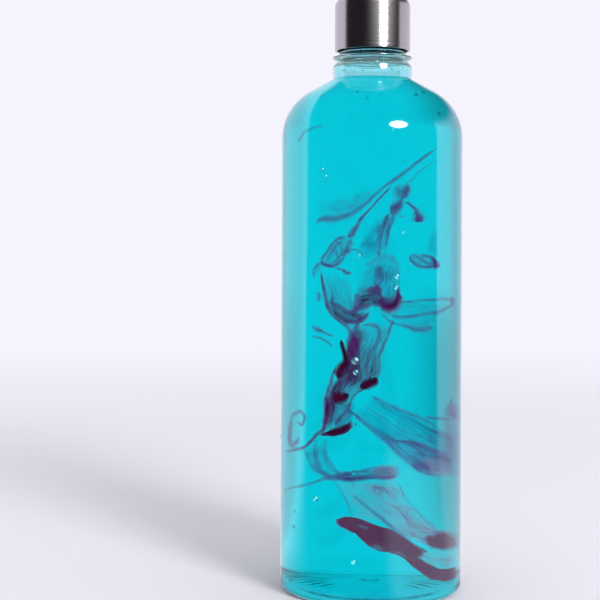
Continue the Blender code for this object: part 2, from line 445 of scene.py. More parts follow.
@dataclass(frozen=True)
class DyedLiquid:
    """Water with a teal dye, which soaks up red light within a few millimetres."""

    name: str = "dyed_liquid"
    refraction: float = 1.33
    soaked_up: Colour = (78.0, 1.2, 0.8)
    density: float = 100.0

    def material(self) -> bpy.types.Material:
        """Make the material, clear at its surface and dyed throughout."""
        material, board = new_board(self.name)
        clear = {"Base Color": WHITE, "Roughness": 0.0, "IOR": self.refraction, "Transmission Weight": 1.0}
        passed = [1 - soaked / self.density for soaked in self.soaked_up]
        dye = board.add("VolumeAbsorption", {"Color": passed, "Density": self.density})
        board.tree.links.new(dye.outputs[0], board.dressed(clear).inputs["Volume"])
        return material


@dataclass(frozen=True)
class InkFinish:
    """Ink spread out in the liquid: see-through where it is thin, streaked along its flow.

    A faint glow stands for the light that the ink's own haze scatters back through the dye.
    """

    name: str
    thin: Colour
    thick: Colour
    thin_glow: Colour
    thick_glow: Colour
    opacity: float
    streaks: float = 16.0
    streak_depth: float = 0.55
    wisp: float = 0.6
    streak_length: float = 3.0
    streak_edge: Point = (0.34, 0.64)
    streak_twist: float = 1.2
    fold_length: float = 1.3
    streaks_in_fold: float = 3.0
    fold_twist: float = 1.6
    fold_width: float = 0.035
    most: float = 0.99
    deepening: Point = (0.22, 0.72)
    roughness: float = 0.8

    def material(self) -> bpy.types.Material:
        """Make the material, which reads the piece's own density and flow map."""
        material, board = new_board(self.name)
        density = board.add("Attribute", attribute_name="ink").outputs["Fac"]
        flow = board.add("UVMap", uv_map="flow").outputs["UV"]
        drawn = board.stretched(flow, (self.streak_length, self.streaks, 1.0))
        fibres = board.cloudy(drawn, detail=4.0, twist=self.streak_twist)
        streak = board.ranged(fibres, *self.streak_edge, 1.0 - self.streak_depth, 1.0)
        folds = board.stretched(flow, (self.fold_length, self.streaks / self.streaks_in_fold, 1.0))
        curls = board.cloudy(folds, detail=2.0, twist=self.fold_twist)
        ridge = board.reckon("ABSOLUTE", board.reckon("SUBTRACT", curls, 0.5), 0.0)
        wisp = board.ranged(ridge, 0.0, self.fold_width, self.wisp, 0.0)
        cover = board.product(density, board.reckon("ADD", streak, wisp), self.opacity)
        cover = board.capped(cover, self.most)
        deep = board.ranged(cover, *self.deepening)
        board.dressed(
            {
                "Base Color": board.blended(deep, self.thin, self.thick),
                "Roughness": self.roughness,
                "Specular IOR Level": 0.0,
                "Emission Color": board.blended(deep, self.thin_glow, self.thick_glow),
                "Emission Strength": 1.0,
                "Alpha": cover,
            }
        )
        return material


@dataclass(frozen=True)
class BrushedSteel:
    """Steel brushed round the cap, with a fine grain in its gloss."""

    name: str = "brushed_steel"
    colour: Colour = (0.49, 0.465, 0.49)
    roughness: float = 0.27
    stretch: float = 0.85
    stretch_turn: float = 0.25
    grain_up: float = 9000.0
    grain_round: float = 140.0
    grain_edge: Point = (0.3, 0.7)
    grain_gloss: Point = (-0.03, 0.05)
    grain_depth: float = 0.01 * MM
    grain_strength: float = 0.15

    def material(self) -> bpy.types.Material:
        """Make the material."""
        material, board = new_board(self.name)
        drawn = board.stretched(board.place(), (self.grain_round, self.grain_round, self.grain_up))
        grain = board.cloudy(drawn, detail=3.0)
        glossiest, dullest = (self.roughness + change for change in self.grain_gloss)
        board.dressed(
            {
                "Base Color": self.colour,
                "Metallic": 1.0,
                "Roughness": board.ranged(grain, *self.grain_edge, glossiest, dullest),
                "Anisotropic": self.stretch,
                "Anisotropic Rotation": self.stretch_turn,
                "Tangent": board.add("Tangent", direction_type="RADIAL", axis="Z").outputs[0],
                "Normal": board.bumped(grain, self.grain_depth, self.grain_strength),
            }
        )
        return material


@dataclass(frozen=True)
class Moulded:
    """A moulded or foamed plastic with an even colour and a fine skin."""

    name: str
    colour: Colour
    roughness: float
    grain: float = 1800.0
    grain_depth: float = 0.02 * MM
    grain_strength: float = 0.4
    grain_shade: float = 0.8

    def material(self) -> bpy.types.Material:
        """Make the material."""
        material, board = new_board(self.name)
        skin = board.cloudy(board.place(), self.grain, detail=3.0)
        darker = tuple(part * self.grain_shade for part in self.colour)
        board.dressed(
            {
                "Base Color": board.blended(skin, darker, self.colour),
                "Roughness": self.roughness,
                "Normal": board.bumped(skin, self.grain_depth, self.grain_strength),
            }
        )
        return material


LINING = Moulded("cap_plastic", (0.022, 0.021, 0.024), roughness=0.42)
FOAM = Moulded("seal_foam", (0.82, 0.82, 0.80), roughness=0.7, grain=900.0, grain_depth=0.06 * MM)


@dataclass(frozen=True)
class Bead:
    """A bubble of air or drop of liquid that bends light strongly, with a painted lamp highlight."""

    name: str
    tint: Colour
    refraction: float
    painted_glint: float = 0.0
    glint_way: Spot = (0.35, -0.80, 0.48)
    glint_edge: Point = (0.82, 0.94)
    glint_tint: Colour = (0.75, 1.0, 1.0)

    def material(self) -> bpy.types.Material:
        """Make the material, whose glow is a painted highlight of the lamp in a bubble's skin."""
        material, board = new_board(self.name)
        facing = board.facing(board.add("TexCoord").outputs["Normal"], self.glint_way)
        board.dressed(
            {
                "Base Color": self.tint,
                "Roughness": 0.0,
                "IOR": self.refraction,
                "Transmission Weight": 1.0,
                "Emission Color": self.glint_tint,
                # Painted highlight: the skin glows on the side that faces the soft box.
                "Emission Strength": board.ranged(facing, *self.glint_edge, 0.0, self.painted_glint),
            }
        )
        return material


@dataclass(frozen=True)
class PhotoView:
    """The camera, and the places in the bottle that its pixels show."""

    pixels: int = 600
    lens: float = 84.8
    sensor: float = 36.0
    distance: float = 598.0 * MM
    height: float = 150.0 * MM
    yaw: float = math.radians(2.9)
    roll: float = math.radians(0.27)
    shift_up: float = -0.1163
    liquid_radius: float = 37.2 * MM
    refraction: float = 1.33

    @property
    def pixel(self) -> float:
        """Width of what one pixel shows at the bottle's axis."""
        return self.distance * self.sensor / self.lens / self.pixels

    @cache
    def matrix(self) -> Matrix:
        """Place the camera in front of the bottle, level, and turned and rolled a little."""
        place = Matrix.Translation((0, -self.distance, self.height))
        turn = Matrix.Rotation(self.yaw, 4, "Z") @ Matrix.Rotation(math.tau / 4, 4, "X")
        return place @ turn @ Matrix.Rotation(self.roll, 4, "Z")

    def camera(self) -> bpy.types.Object:
        """Make the camera and use it."""
        data = bpy.data.cameras.new("camera")
        data.lens = self.lens
        data.sensor_width = self.sensor
        data.shift_y = self.shift_up
        camera = bpy.data.objects.new("camera", data)
        camera.matrix_world = self.matrix()
        bpy.context.scene.collection.objects.link(camera)
        bpy.context.scene.camera = camera
        return camera

    def ray(self, across: float, down: float) -> tuple[Vector, Vector]:
        """Find where a pixel looks.

        Args:
            across: the pixel's place from the left.
            down: its place from the top.

        Returns:
            The camera's place, and the direction that the pixel looks in.
        """
        half = self.pixels / 2
        right = (across - half) / self.pixels
        up = (half - down) / self.pixels + self.shift_up
        matrix = self.matrix()
        look = Vector((right * self.sensor / self.lens, up * self.sensor / self.lens, -1))
        return matrix.translation, (matrix.to_3x3() @ look).normalized()

    def on_round(self, across: float, down: float, radius: float) -> Vector:
        """Find what a pixel shows on the near side of an upright cylinder about the axis.

        Args:
            across: the pixel's place from the left.
            down: its place from the top.
            radius: the cylinder's radius.

        Returns:
            The place.
        """
        start, look = self.ray(across, down)
        flat = look.x**2 + look.y**2
        half = -(start.x * look.x + start.y * look.y) / flat
        closest = Vector((start.x + look.x * half, start.y + look.y * half)).length
        back = math.sqrt(max(radius**2 - closest**2, 0.0) / flat)
        return start + look * (half - back)

    def inside(self, spot: Spot) -> Vector:
        """Find the place in the liquid that shows at a pixel, through the round wall that bends light.

        Args:
            spot: pixel from the left, pixel from the top, and share of the way from front to back.

        Returns:
            The place.
        """
        front = self.on_round(spot[0], spot[1], self.liquid_radius)
        look = (front - self.matrix().translation).normalized()
        outward = Vector((front.x, front.y, 0)).normalized()
        facing = -outward.dot(look)
        bent = math.sqrt(1 - (1 - facing**2) / self.refraction**2)
        inner = look / self.refraction + outward * (facing / self.refraction - bent)
        length = -2 * (front.x * inner.x + front.y * inner.y) / (inner.x**2 + inner.y**2)
        return front + inner * length * spot[2]


def staged(name: str, shape: bmesh.types.BMesh, paint: bpy.types.Material) -> bpy.types.Object:
    """Put a part of the studio in the scene.

    Args:
        name: the part's name.
        shape: its bmesh, which is freed.
        paint: its material.

    Returns:
        The part, which isn't part of the object.
    """
    mesh = bpy.data.meshes.new(name)
    shape.to_mesh(mesh)
    shape.free()
    mesh.materials.append(paint)
    part = bpy.data.objects.new(name, mesh)
    bpy.context.scene.collection.objects.link(part)
    return part


@dataclass(frozen=True)
class Studio:
    """A pale floor and backdrop, a soft box to the right and a dim room in front and overhead.

    Sizes of the soft box are half its width and height, and its core is the share of them that is
    lit in full. Its halo is what the room round it throws back. The bright wall behind reaches
    higher on the left, where its edge is round. Every pair of numbers is where a change from one
    light to another starts and ends: distances in metres, shares of a direction, or depths of a ray.
    """

    backdrop: Colour = (0.92, 0.90, 0.99)
    lit: Colour = (0.94, 0.94, 1.03)
    side: Colour = (0.80, 0.75, 0.82)
    shaded: Colour = (0.32, 0.37, 0.48)
    room: Colour = (0.019, 0.015, 0.020)
    # Painted light: the pale colour pooled on the floor under the bottle.
    under: Colour = (0.70, 0.76, 0.80)
    fill: Colour = (0.70, 0.70, 0.70)
    floor_paint: Colour = (0.86, 0.84, 0.92)
    floor_radius: float = 6.0
    floor_gap: float = 0.2 * MM
    floor_sides: int = 96
    floor_fade: Point = (0.05, 1.3)
    right_front: Point = (0.22, 0.45)
    right_reach: Point = (0.22, 0.45)
    right_glow: float = 0.48
    left_dim: Point = (-0.10, -0.45)
    left_shade: float = 0.44
    right_dim: Point = (0.35, 0.60)
    right_shade: float = 0.24
    dim_reach: Point = (0.8, 4.0)
    close: Point = (0.036, 0.055)
    shadow_edge: Point = (0.034, 0.040)
    behind: Point = (-0.04, 0.04)
    overhead: Point = (0.26, 0.46)
    window_way: Spot = (-1.0, 1.0, 0.0)
    window_edge: Point = (0.67, 0.73)
    crossings: Point = (4.0, 5.0)
    bounces_back: Point = (1.0, 2.0)
    box_side: float = math.radians(34.5)
    box_rise: float = math.radians(21.0)
    box_distance: float = 2.2
    box_width: float = 0.52
    box_height: float = 0.34
    box_core: float = 0.45
    box_power: float = 44.0
    box_tint: Colour = (1.0, 0.99, 1.0)
    box_aim: float = 0.19
    halo: float = 1.7
    halo_edge: float = 0.40
    halo_fall: float = 4.0
    halo_rise: Point = (0.10, 0.26)
    max_bounces: int = 32
    max_clear_bounces: int = 64

    @property
    def box_way(self) -> Vector:
        """Direction from the bottle to the soft box."""
        flat, rise = math.cos(self.box_rise), math.sin(self.box_rise)
        return Vector((math.sin(self.box_side) * flat, -math.cos(self.box_side) * flat, rise))

    def within(self, board: Board, rays: bpy.types.bpy_prop_collection) -> bpy.types.NodeSocket:
        """Tell light thrown back inside the bottle from light thrown back by its front wall.

        Args:
            board: the board of the world or the floor.
            rays: the outputs of its Light Path node.

        Returns:
            1 for a ray that crossed the contents or was thrown back more than once.
        """
        deep = board.ranged(rays["Transmission Depth"], *self.crossings)
        entered = board.capped(rays["Transmission Depth"])
        again = board.ranged(rays["Glossy Depth"], *self.bounces_back)
        return board.largest(deep, board.product(entered, again))

    def sweep(self, board: Board, aside: bpy.types.NodeSocket) -> bpy.types.NodeSocket:
        """Colour what shows through the bottle by how far to the side it lies.

        Args:
            board: the board of the world or the floor.
            aside: how far to the right, from -1 to 1.

        Returns:
            The colour.
        """
        stops = (
            (0.03, self.backdrop),
            (0.08, self.shaded),
            (0.16, self.shaded),
            (0.22, self.side),
            (0.30, self.backdrop),
            (0.64, self.backdrop),
            (0.69, self.lit),
            (0.74, self.side),
            (0.86, self.side),
            (0.90, self.shaded),
            (0.95, self.backdrop),
        )
        share = board.add("MapRange", {"Value": aside, "From Min": -1.0, "From Max": 1.0}).outputs["Result"]
        return board.stepped(share, stops)

    def world(self) -> None:
        """Light the room: pale all round for sight, dim in front and overhead for reflections."""
        world = bpy.data.worlds.new("studio")
        bpy.context.scene.world = world
        board = Board(world)
        rays = board.add("LightPath").outputs
        looked = board.add("TexCoord").outputs["Generated"]
        way = board.add("SeparateXYZ", {0: looked}).outputs
        facing = board.facing(looked, self.box_way)
        near_box = board.add("MapRange", {"Value": facing, "From Min": self.halo_edge, "From Max": 1.0})
        halo = board.product(
            board.reckon("POWER", near_box.outputs["Result"], self.halo_fall),
            self.halo,
            board.ranged(way["Z"], *self.halo_rise),
            board.rest_of(rays["Is Singular Ray"]),
        )
        low = board.ranged(way["Z"], *self.overhead, 1.0, 0.0)
        wall = board.product(board.ranged(way["Y"], *self.behind), low)
        window = board.ranged(board.facing(looked, Vector(self.window_way).normalized()), *self.window_edge)
        bright = board.largest(wall, window, self.within(board, rays))
        mirrored = board.blended(bright, board.blended(halo, self.room, WHITE), self.backdrop)
        colour = board.blended(rays["Is Transmission Ray"], self.fill, self.sweep(board, way["X"]))
        colour = board.blended(board.capped(rays["Glossy Depth"]), colour, mirrored)
        colour = board.blended(rays["Is Camera Ray"], colour, self.backdrop)
        light = board.add("Background", {"Color": colour, "Strength": 1.0})
        board.add("OutputWorld", {"Surface": light.outputs[0]})

    def panel(self) -> bpy.types.Object:
        """Hang the soft box, a panel that fades at its edges, in front and to the right."""
        material, board = new_board("soft_light")
        spread = board.stretched(board.place(), (1 / self.box_width, 1 / self.box_height, 1.0))
        power = board.ranged(board.length(spread), self.box_core, 1.0, self.box_power, 0.0)
        board.surface(board.add("Emission", {"Color": self.box_tint, "Strength": power}))
        shape = bmesh.new()
        bmesh.ops.create_grid(shape, x_segments=1, y_segments=1, size=1.0)
        bmesh.ops.scale(shape, verts=shape.verts[:], vec=(self.box_width, self.box_height, 1))
        panel = staged("soft_box", shape, material)
        panel.location = self.box_way * self.box_distance + Vector((0, 0, self.box_aim))
        panel.rotation_euler = (-self.box_way).to_track_quat("-Z", "Y").to_euler()
        panel.visible_camera = False
        panel.visible_transmission = False
        return panel

    def floor_glow(self, board: Board) -> tuple[bpy.types.NodeSocket, bpy.types.NodeSocket]:
        """Colour the floor for each kind of ray.

        Args:
            board: the floor's board.

        Returns:
            How far the floor glows rather than being lit, and the colour it glows in.
        """
        rays = board.add("LightPath").outputs
        place = board.place()
        away = board.length(place)
        split = board.add("SeparateXYZ", {0: place}).outputs
        aside = board.reckon("DIVIDE", split["X"], away)
        mirrored = board.capped(rays["Glossy Depth"])
        traced = board.largest(rays["Is Transmission Ray"], mirrored)
        faded = board.product(board.ranged(away, *self.floor_fade), rays["Is Camera Ray"])
        right = board.product(
            board.ranged(aside, *self.right_front),
            board.ranged(away, *self.right_reach, self.right_glow, 0.0),
        )
        close = board.product(
            board.capped(rays["Transmission Depth"]), board.ranged(away, *self.close, 1.0, 0.0)
        )
        behind = board.ranged(split["Y"], *self.behind)
        bright = board.largest(behind, right, self.within(board, rays), close)
        dimmed = board.product(
            board.largest(
                board.ranged(aside, *self.left_dim, 0.0, self.left_shade),
                board.ranged(aside, *self.right_dim, 0.0, self.right_shade),
            ),
            board.ranged(away, *self.dim_reach, 1.0, 0.0),
        )
        sweep = board.blended(dimmed, self.sweep(board, aside), BLACK)
        through = board.blended(rays["Is Transmission Ray"], self.backdrop, sweep)
        shown = board.blended(mirrored, through, board.blended(bright, self.room, self.backdrop))
        # Painted light: in the bottle's shadow under it, the floor seen through or in the bottle glows
        # pale, standing in for light that comes down through it.
        under = board.product(board.ranged(away, *self.shadow_edge, 1.0, 0.0), traced)
        return board.largest(faded, traced), board.blended(under, shown, self.under)

    def floor(self) -> bpy.types.Object:
        """Lay the floor, which fades into the backdrop away from the bottle."""
        material, board = new_board("pale_paint")
        share, colour = self.floor_glow(board)
        paint = board.add("BsdfDiffuse", {"Color": self.floor_paint})
        glow = board.add("Emission", {"Color": colour, "Strength": 1.0})
        board.surface(board.add("MixShader", {0: share, 1: paint.outputs[0], 2: glow.outputs[0]}))
        shape = bmesh.new()
        bmesh.ops.create_circle(shape, cap_ends=True, segments=self.floor_sides, radius=self.floor_radius)
        bmesh.ops.translate(shape, verts=shape.verts[:], vec=(0, 0, -self.floor_gap))
        return staged("floor", shape, material)

    def build(self) -> None:
        """Set the room, the lamp, the floor and how light is traced."""
        self.world()
        self.panel()
        self.floor()
        scene = bpy.context.scene
        scene.view_settings.view_transform = "Standard"
        scene.cycles.max_bounces = self.max_bounces
        scene.cycles.transmission_bounces = self.max_bounces
        scene.cycles.transparent_max_bounces = self.max_clear_bounces


@dataclass(frozen=True)
class BottleWall:
    """The blown bottle: base, side, shoulder, collar, ring, bead and threaded neck."""

    radius: float = 38.0 * MM
    wall: float = 0.8 * MM
    shoulder_top: float = 213.7 * MM
    shoulder_rounding: float = 22.2 * MM
    shoulder_slope: float = math.radians(28.8)
    base_corner: float = 3.2 * MM
    base_wall: float = 1.4 * MM
    foot_width: float = 8.8 * MM
    dome: float = 4.5 * MM
    gate_radius: float = 2.2 * MM
    gate_flat: float = 0.7
    gate_height: float = 0.7 * MM
    gate_edge: float = 0.05 * MM
    gate_clear: float = 1.3
    bore: float = 10.85 * MM
    neck_wall: float = 3.05 * MM
    groove_wall: float = 2.45 * MM
    finish_wall: float = 1.6 * MM
    collar_bulge: float = 2.65 * MM
    collar_fillet: float = 0.6 * MM
    collar_height: float = 4.8 * MM
    collar_round: float = 2.5 * MM
    collar_swell: float = 0.25 * MM
    swell_rise: float = 0.4 * MM
    ring_width: float = 2.8 * MM
    ring_cone: float = 1.2 * MM
    ring_edge: float = 0.9 * MM
    groove_height: float = 0.8 * MM
    bead_depth: float = 0.75 * MM
    bead_height: float = 1.3 * MM
    finish_height: float = 18.35 * MM
    thread_depth: float = 1.25 * MM
    thread_pitch: float = 3.18 * MM
    thread_turns: float = 1.75
    thread_crest: float = 0.8 * MM
    thread_flank: float = math.radians(25.0)
    thread_below_mouth: float = 2.6 * MM
    thread_root: float = 0.4 * MM
    run_out: float = math.radians(36.0)
    rounding: float = 0.22 * MM
    rib_count: int = 24
    rib_depth: float = 0.05 * MM
    rib_start: float = 0.45
    segments: int = 144
    dome_steps: int = 16
    corner_steps: int = 10
    shoulder_steps: int = 24
    fillet_steps: int = 6
    collar_steps: int = 10
    bead_steps: int = 8

    @property
    def rim(self) -> float:
        """Radius of the dome under the base."""
        return self.radius - self.base_corner - self.foot_width

    @property
    def neck_radius(self) -> float:
        """Radius of the neck between the collar and the ring."""
        return self.bore + self.neck_wall

    @property
    def collar_radius(self) -> float:
        """Radius of the blown collar."""
        return self.neck_radius + self.collar_bulge

    @property
    def fillet_z(self) -> float:
        """Height of the centre of the fillet between the shoulder's cone and the collar."""
        slope = self.shoulder_slope
        return self.shoulder_top + self.collar_fillet * (1 - math.sin(slope)) / math.cos(slope)

    @property
    def collar_round_z(self) -> float:
        """Height at which the collar starts to round in."""
        return self.shoulder_top + self.collar_height

    @property
    def ring_z(self) -> float:
        """Height of the collar's top, where the ring's cone starts."""
        return self.collar_round_z + self.collar_round

    @property
    def bead_z(self) -> float:
        """Height of the bead's lower edge."""
        return self.ring_z + self.ring_cone + self.ring_edge + self.groove_height

    @property
    def mouth_z(self) -> float:
        """Height of the mouth."""
        return self.bead_z + self.bead_height + self.finish_height

    def base(self, skin: float) -> list[Point]:
        """Find the dome under the base.

        Args:
            skin: how far the dome is raised.

        Returns:
            Its points from the axis out to the standing ring.
        """
        sphere = (self.rim**2 + self.dome**2) / (2 * self.dome)
        reach = math.asin(self.rim / sphere)
        centre = (0, self.dome - sphere + skin)
        return arc(centre, sphere, sphere, Way.UP.value, Way.UP.value - reach, self.dome_steps)

    def side(self, wall: float, floor: float, end: float = Way.IN.value) -> list[Point]:
        """Find the body's side, whose shoulder is rounded over into a cone.

        Args:
            wall: how far the side is drawn in.
            floor: how far the standing ring is raised.
            end: the angle at which the fillet under the collar stops.

        Returns:
            Its points from the standing ring up to the collar.
        """
        slope = self.shoulder_slope
        corner = (self.radius - self.base_corner, self.base_corner)
        round_radius = self.radius - self.shoulder_rounding
        cone_radius = round_radius + self.shoulder_rounding * math.sin(slope)
        cone_z = self.shoulder_top - (cone_radius - self.collar_radius) * math.tan(slope)
        shoulder = (round_radius, cone_z - self.shoulder_rounding * math.cos(slope))
        fillet = (self.collar_radius + self.collar_fillet, self.fillet_z)
        down, out, up = Way.DOWN.value, Way.OUT.value, Way.UP.value
        rounding, drawn = self.shoulder_rounding - wall, self.collar_fillet + wall
        return [
            *arc(corner, self.base_corner - wall, self.base_corner - floor, down, out, self.corner_steps),
            *arc(shoulder, rounding, rounding, out, up - slope, self.shoulder_steps),
            *arc(fillet, drawn, drawn, down - slope, end, self.fillet_steps),
        ]

    def barrel(self, wall: float) -> list[Point]:
        """Find the collar's side, which swells a little.

        Args:
            wall: how far it is drawn in.

        Returns:
            Its points from the fillet up.
        """
        low = self.fillet_z + self.swell_rise
        high = self.collar_round_z
        shares = [step / self.collar_steps for step in range(self.collar_steps)]
        swell = self.collar_swell
        return [
            (self.collar_radius - wall + swell * math.sin(math.pi * share) ** 2, low + (high - low) * share)
            for share in shares
        ]

    def gate(self) -> list[Point]:
        """Find the moulding gate's nub under the dome, from the axis out."""
        tip = self.dome - self.gate_height
        flat = self.gate_radius * self.gate_flat
        return [(0, tip), (flat, tip), (self.gate_radius, self.dome - self.gate_edge)]

    def outline(self) -> list[Point]:
        """Find the wall's whole outline.

        Returns:
            Its points from the axis under the base to the axis inside it.
        """
        up, out, down = Way.UP.value, Way.OUT.value, Way.DOWN.value
        ring = self.neck_radius + self.ring_width
        groove = self.bore + self.groove_wall
        finish = self.bore + self.finish_wall
        edge_z = self.ring_z + self.ring_cone
        bead_top = self.bead_z + self.bead_height
        top = self.collar_round_z
        bead = (groove, self.bead_z + self.bead_height / 2)
        inside = self.collar_radius - self.wall - self.bore
        clear_of_thread = bead_top + self.finish_height / 3
        outer = [
            *self.gate(),
            *[point for point in self.base(0) if point[0] > self.gate_radius * self.gate_clear],
            *self.side(0, 0),
            *self.barrel(0),
            *arc((self.neck_radius, top), self.collar_bulge, self.collar_round, out, up, self.collar_steps),
            (ring, edge_z),
            (ring, edge_z + self.ring_edge),
            (groove, edge_z + self.ring_edge),
            *arc(bead, self.bead_depth, self.bead_height / 2, down, up, self.bead_steps),
            (finish, bead_top),
            (finish, clear_of_thread),
            (finish, self.mouth_z),
            (self.bore, self.mouth_z),
        ]
        inner = [
            *arc((self.bore, top), inside, self.collar_round - self.wall, up, out, self.collar_steps),
            *reversed(
                [*self.base(self.base_wall), *self.side(self.wall, self.base_wall), *self.barrel(self.wall)]
            ),
        ]
        return softened([*outer, *inner], self.rounding)

    def thread(self) -> bpy.types.Mesh:
        """Sweep the screw thread up the neck.

        Returns:
            The ridge, rooted in the neck's wall, which fades into it at both ends.
        """
        finish = self.bore + self.finish_wall
        crest, root = finish + self.thread_depth, finish - self.thread_root
        start_z = self.mouth_z - self.thread_below_mouth - self.thread_turns * self.thread_pitch
        half = self.thread_crest / 2
        spread = half + (crest - root) * math.tan(self.thread_flank)
        shape = bmesh.new()
        section = [(root, -spread), (crest, -half), (crest, half), (root, spread)]
        corners = [shape.verts.new((radius, 0, start_z + rise)) for radius, rise in section]
        for first, second in zip(corners, corners[1:] + corners[:1]):
            shape.edges.new((first, second))
        steps = round(self.thread_turns * self.segments)
        climb = self.thread_pitch / self.segments
        bmesh.ops.spin(
            shape,
            geom=shape.verts[:] + shape.edges[:],
            axis=(0, 0, 1),
            cent=(0, 0, 0),
            dvec=(0, 0, climb),
            angle=math.tau * steps / self.segments,
            steps=steps,
        )
        bmesh.ops.holes_fill(shape, edges=[edge for edge in shape.edges if edge.is_boundary])
        length = steps * climb
        buried = root + self.thread_root / 2
        for vertex in shape.verts:
            radius = vertex.co.xy.length
            if radius > buried:
                angle = math.atan2(vertex.co.y, vertex.co.x) % math.tau
                rise = vertex.co.z - start_z
                turns = round((rise / self.thread_pitch * math.tau - angle) / math.tau)
                along = (angle / math.tau + turns) * self.thread_pitch
                from_end = max(min(along, length - along), 0.0) / self.thread_pitch * math.tau
                share = min(from_end / self.run_out, 1.0)
                wanted = buried + (radius - buried) * share
                vertex.co.x *= wanted / radius
                vertex.co.y *= wanted / radius
        return finished_mesh("thread_ridge", shape)

    def ribbed(self, mesh: bpy.types.Mesh) -> None:
        """Press shallow ribs into the outer part of the dome under the base.

        Args:
            mesh: the wall's mesh, which is changed.
        """
        for vertex in mesh.vertices:
            radius = vertex.co.xy.length
            if radius < self.rim and vertex.co.z < self.dome + self.base_wall / 2:
                across = (radius / self.rim - self.rib_start) / (1 - self.rib_start)
                share = math.sin(math.pi * min(max(across, 0.0), 1.0))
                wave = math.cos(self.rib_count * math.atan2(vertex.co.y, vertex.co.x))
                vertex.co.z += self.rib_depth * share * max(wave, 0.0)

    def build(self) -> bpy.types.Object:
        """Make the wall with its thread joined on.

        Returns:
            The piece that stands for the frame's bottle.
        """
        mesh = turned_mesh("wall", self.outline(), self.segments)
        self.ribbed(mesh)
        ridge = bpy.data.objects.new("ridge", self.thread())
        plain = bpy.data.objects.new("plain_wall", mesh)
        for guide in (plain, ridge):
            bpy.context.scene.collection.objects.link(guide)
        join = plain.modifiers.new("thread", "BOOLEAN")
        join.operation = "UNION"
        join.object = ridge
        whole = bpy.data.meshes.new_from_object(plain.evaluated_get(bpy.context.evaluated_depsgraph_get()))
        whole.name = "bottle_wall"
        for guide in (plain, ridge):
            bpy.data.objects.remove(guide)
        piece = placed(whole, ClearPlastic().material(), Body.BOTTLE)
        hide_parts("bottle_body")
        return piece


@dataclass(frozen=True)
class Contents:
    """The liquid, which wets the wall, with a level top in the collar."""

    bottle: BottleWall
    soak: float = 0.15 * MM
    below_collar: float = 0.6 * MM
    meniscus: float = 0.35 * MM
    curl_reach: float = 3.0
    curl_steps: tuple[float, ...] = (0.0, 0.12, 0.25, 0.4, 0.6, 0.8, 1.0)
    segments: int = 144

    def outline(self) -> list[Point]:
        """Find the liquid's outline, which runs a little way into the plastic.

        Returns:
            Its points from the axis under it to the axis on its level top.
        """
        wall = self.bottle.wall - self.soak
        floor = self.bottle.base_wall - self.soak
        level = self.bottle.shoulder_top - self.below_collar
        rise = (self.bottle.fillet_z - level - self.meniscus) / (self.bottle.collar_fillet + wall)
        side = self.bottle.side(wall, floor, Way.IN.value + math.asin(rise))
        brim = side[-1][0]
        reach = self.meniscus * self.curl_reach
        curl = [
            (brim - self.soak - reach * share, level + self.meniscus * (1 - share) ** 3)
            for share in self.curl_steps
        ]
        return [*self.bottle.base(floor), *side, *curl, (0, level)]

    def build(self) -> bpy.types.Object:
        """Make the liquid."""
        mesh = turned_mesh("dyed_liquid", self.outline(), self.segments)
        piece = placed(mesh, DyedLiquid().material(), Body.BOTTLE)
        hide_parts("liquid")
        return piece


@dataclass(frozen=True)
class CapCase:
    """The cap's metal case: a drawn cup with a rolled lower edge and a fine groove above it."""

    radius: float
    base_z: float
    top_z: float
    corner: float = 4.0 * MM
    wall: float = 0.35 * MM
    hem_width: float = 0.9 * MM
    hem_height: float = 0.8 * MM
    rounding: float = 0.25 * MM
    groove_z: float = 1.9 * MM
    groove_height: float = 0.35 * MM
    groove_depth: float = 0.04 * MM
    segments: int = 160
    corner_steps: int = 14
    inner_steps: int = 10
    rounding_steps: int = 4

    def outline(self) -> list[Point]:
        """Find the case's outline.

        Returns:
            Its points from the axis on top to the axis under the roof.
        """
        up, out = Way.UP.value, Way.OUT.value
        centre = (self.radius - self.corner, self.top_z - self.corner)
        inner = self.corner - self.wall
        bore = self.radius - self.wall
        hem = self.radius - self.hem_width
        groove = self.base_z + self.groove_z
        sunk = self.radius - self.groove_depth
        return softened(
            [
                (0, self.top_z),
                *arc(centre, self.corner, self.corner, up, out, self.corner_steps),
                (self.radius, groove + self.groove_height * 2),
                (self.radius, groove + self.groove_height),
                (sunk, groove + self.groove_height / 2),
                (self.radius, groove),
                (self.radius, groove - self.groove_height),
                (self.radius, self.base_z),
                (hem, self.base_z),
                (hem, self.base_z + self.hem_height),
                (bore, self.base_z + self.hem_height),
                *arc(centre, inner, inner, out, up, self.inner_steps),
                (0, self.top_z - self.wall),
            ],
            self.rounding,
            self.rounding_steps,
        )

    def build(self) -> bpy.types.Object:
        """Make the case, and dress the lining and the seal that the frame keeps.

        Returns:
            The piece that stands for the frame's case.
        """
        mesh = turned_mesh("cap_case", self.outline(), self.segments)
        piece = placed(mesh, BrushedSteel().material(), Body.CAP)
        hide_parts("cap_shell")
        for node, finish in (("cap_insert", LINING), ("cap_seal", FOAM)):
            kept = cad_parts[node]
            kept.data.materials.clear()
            kept.data.materials.append(finish.material())
            LOG.info("%s keeps its frame shape", node)
        return piece


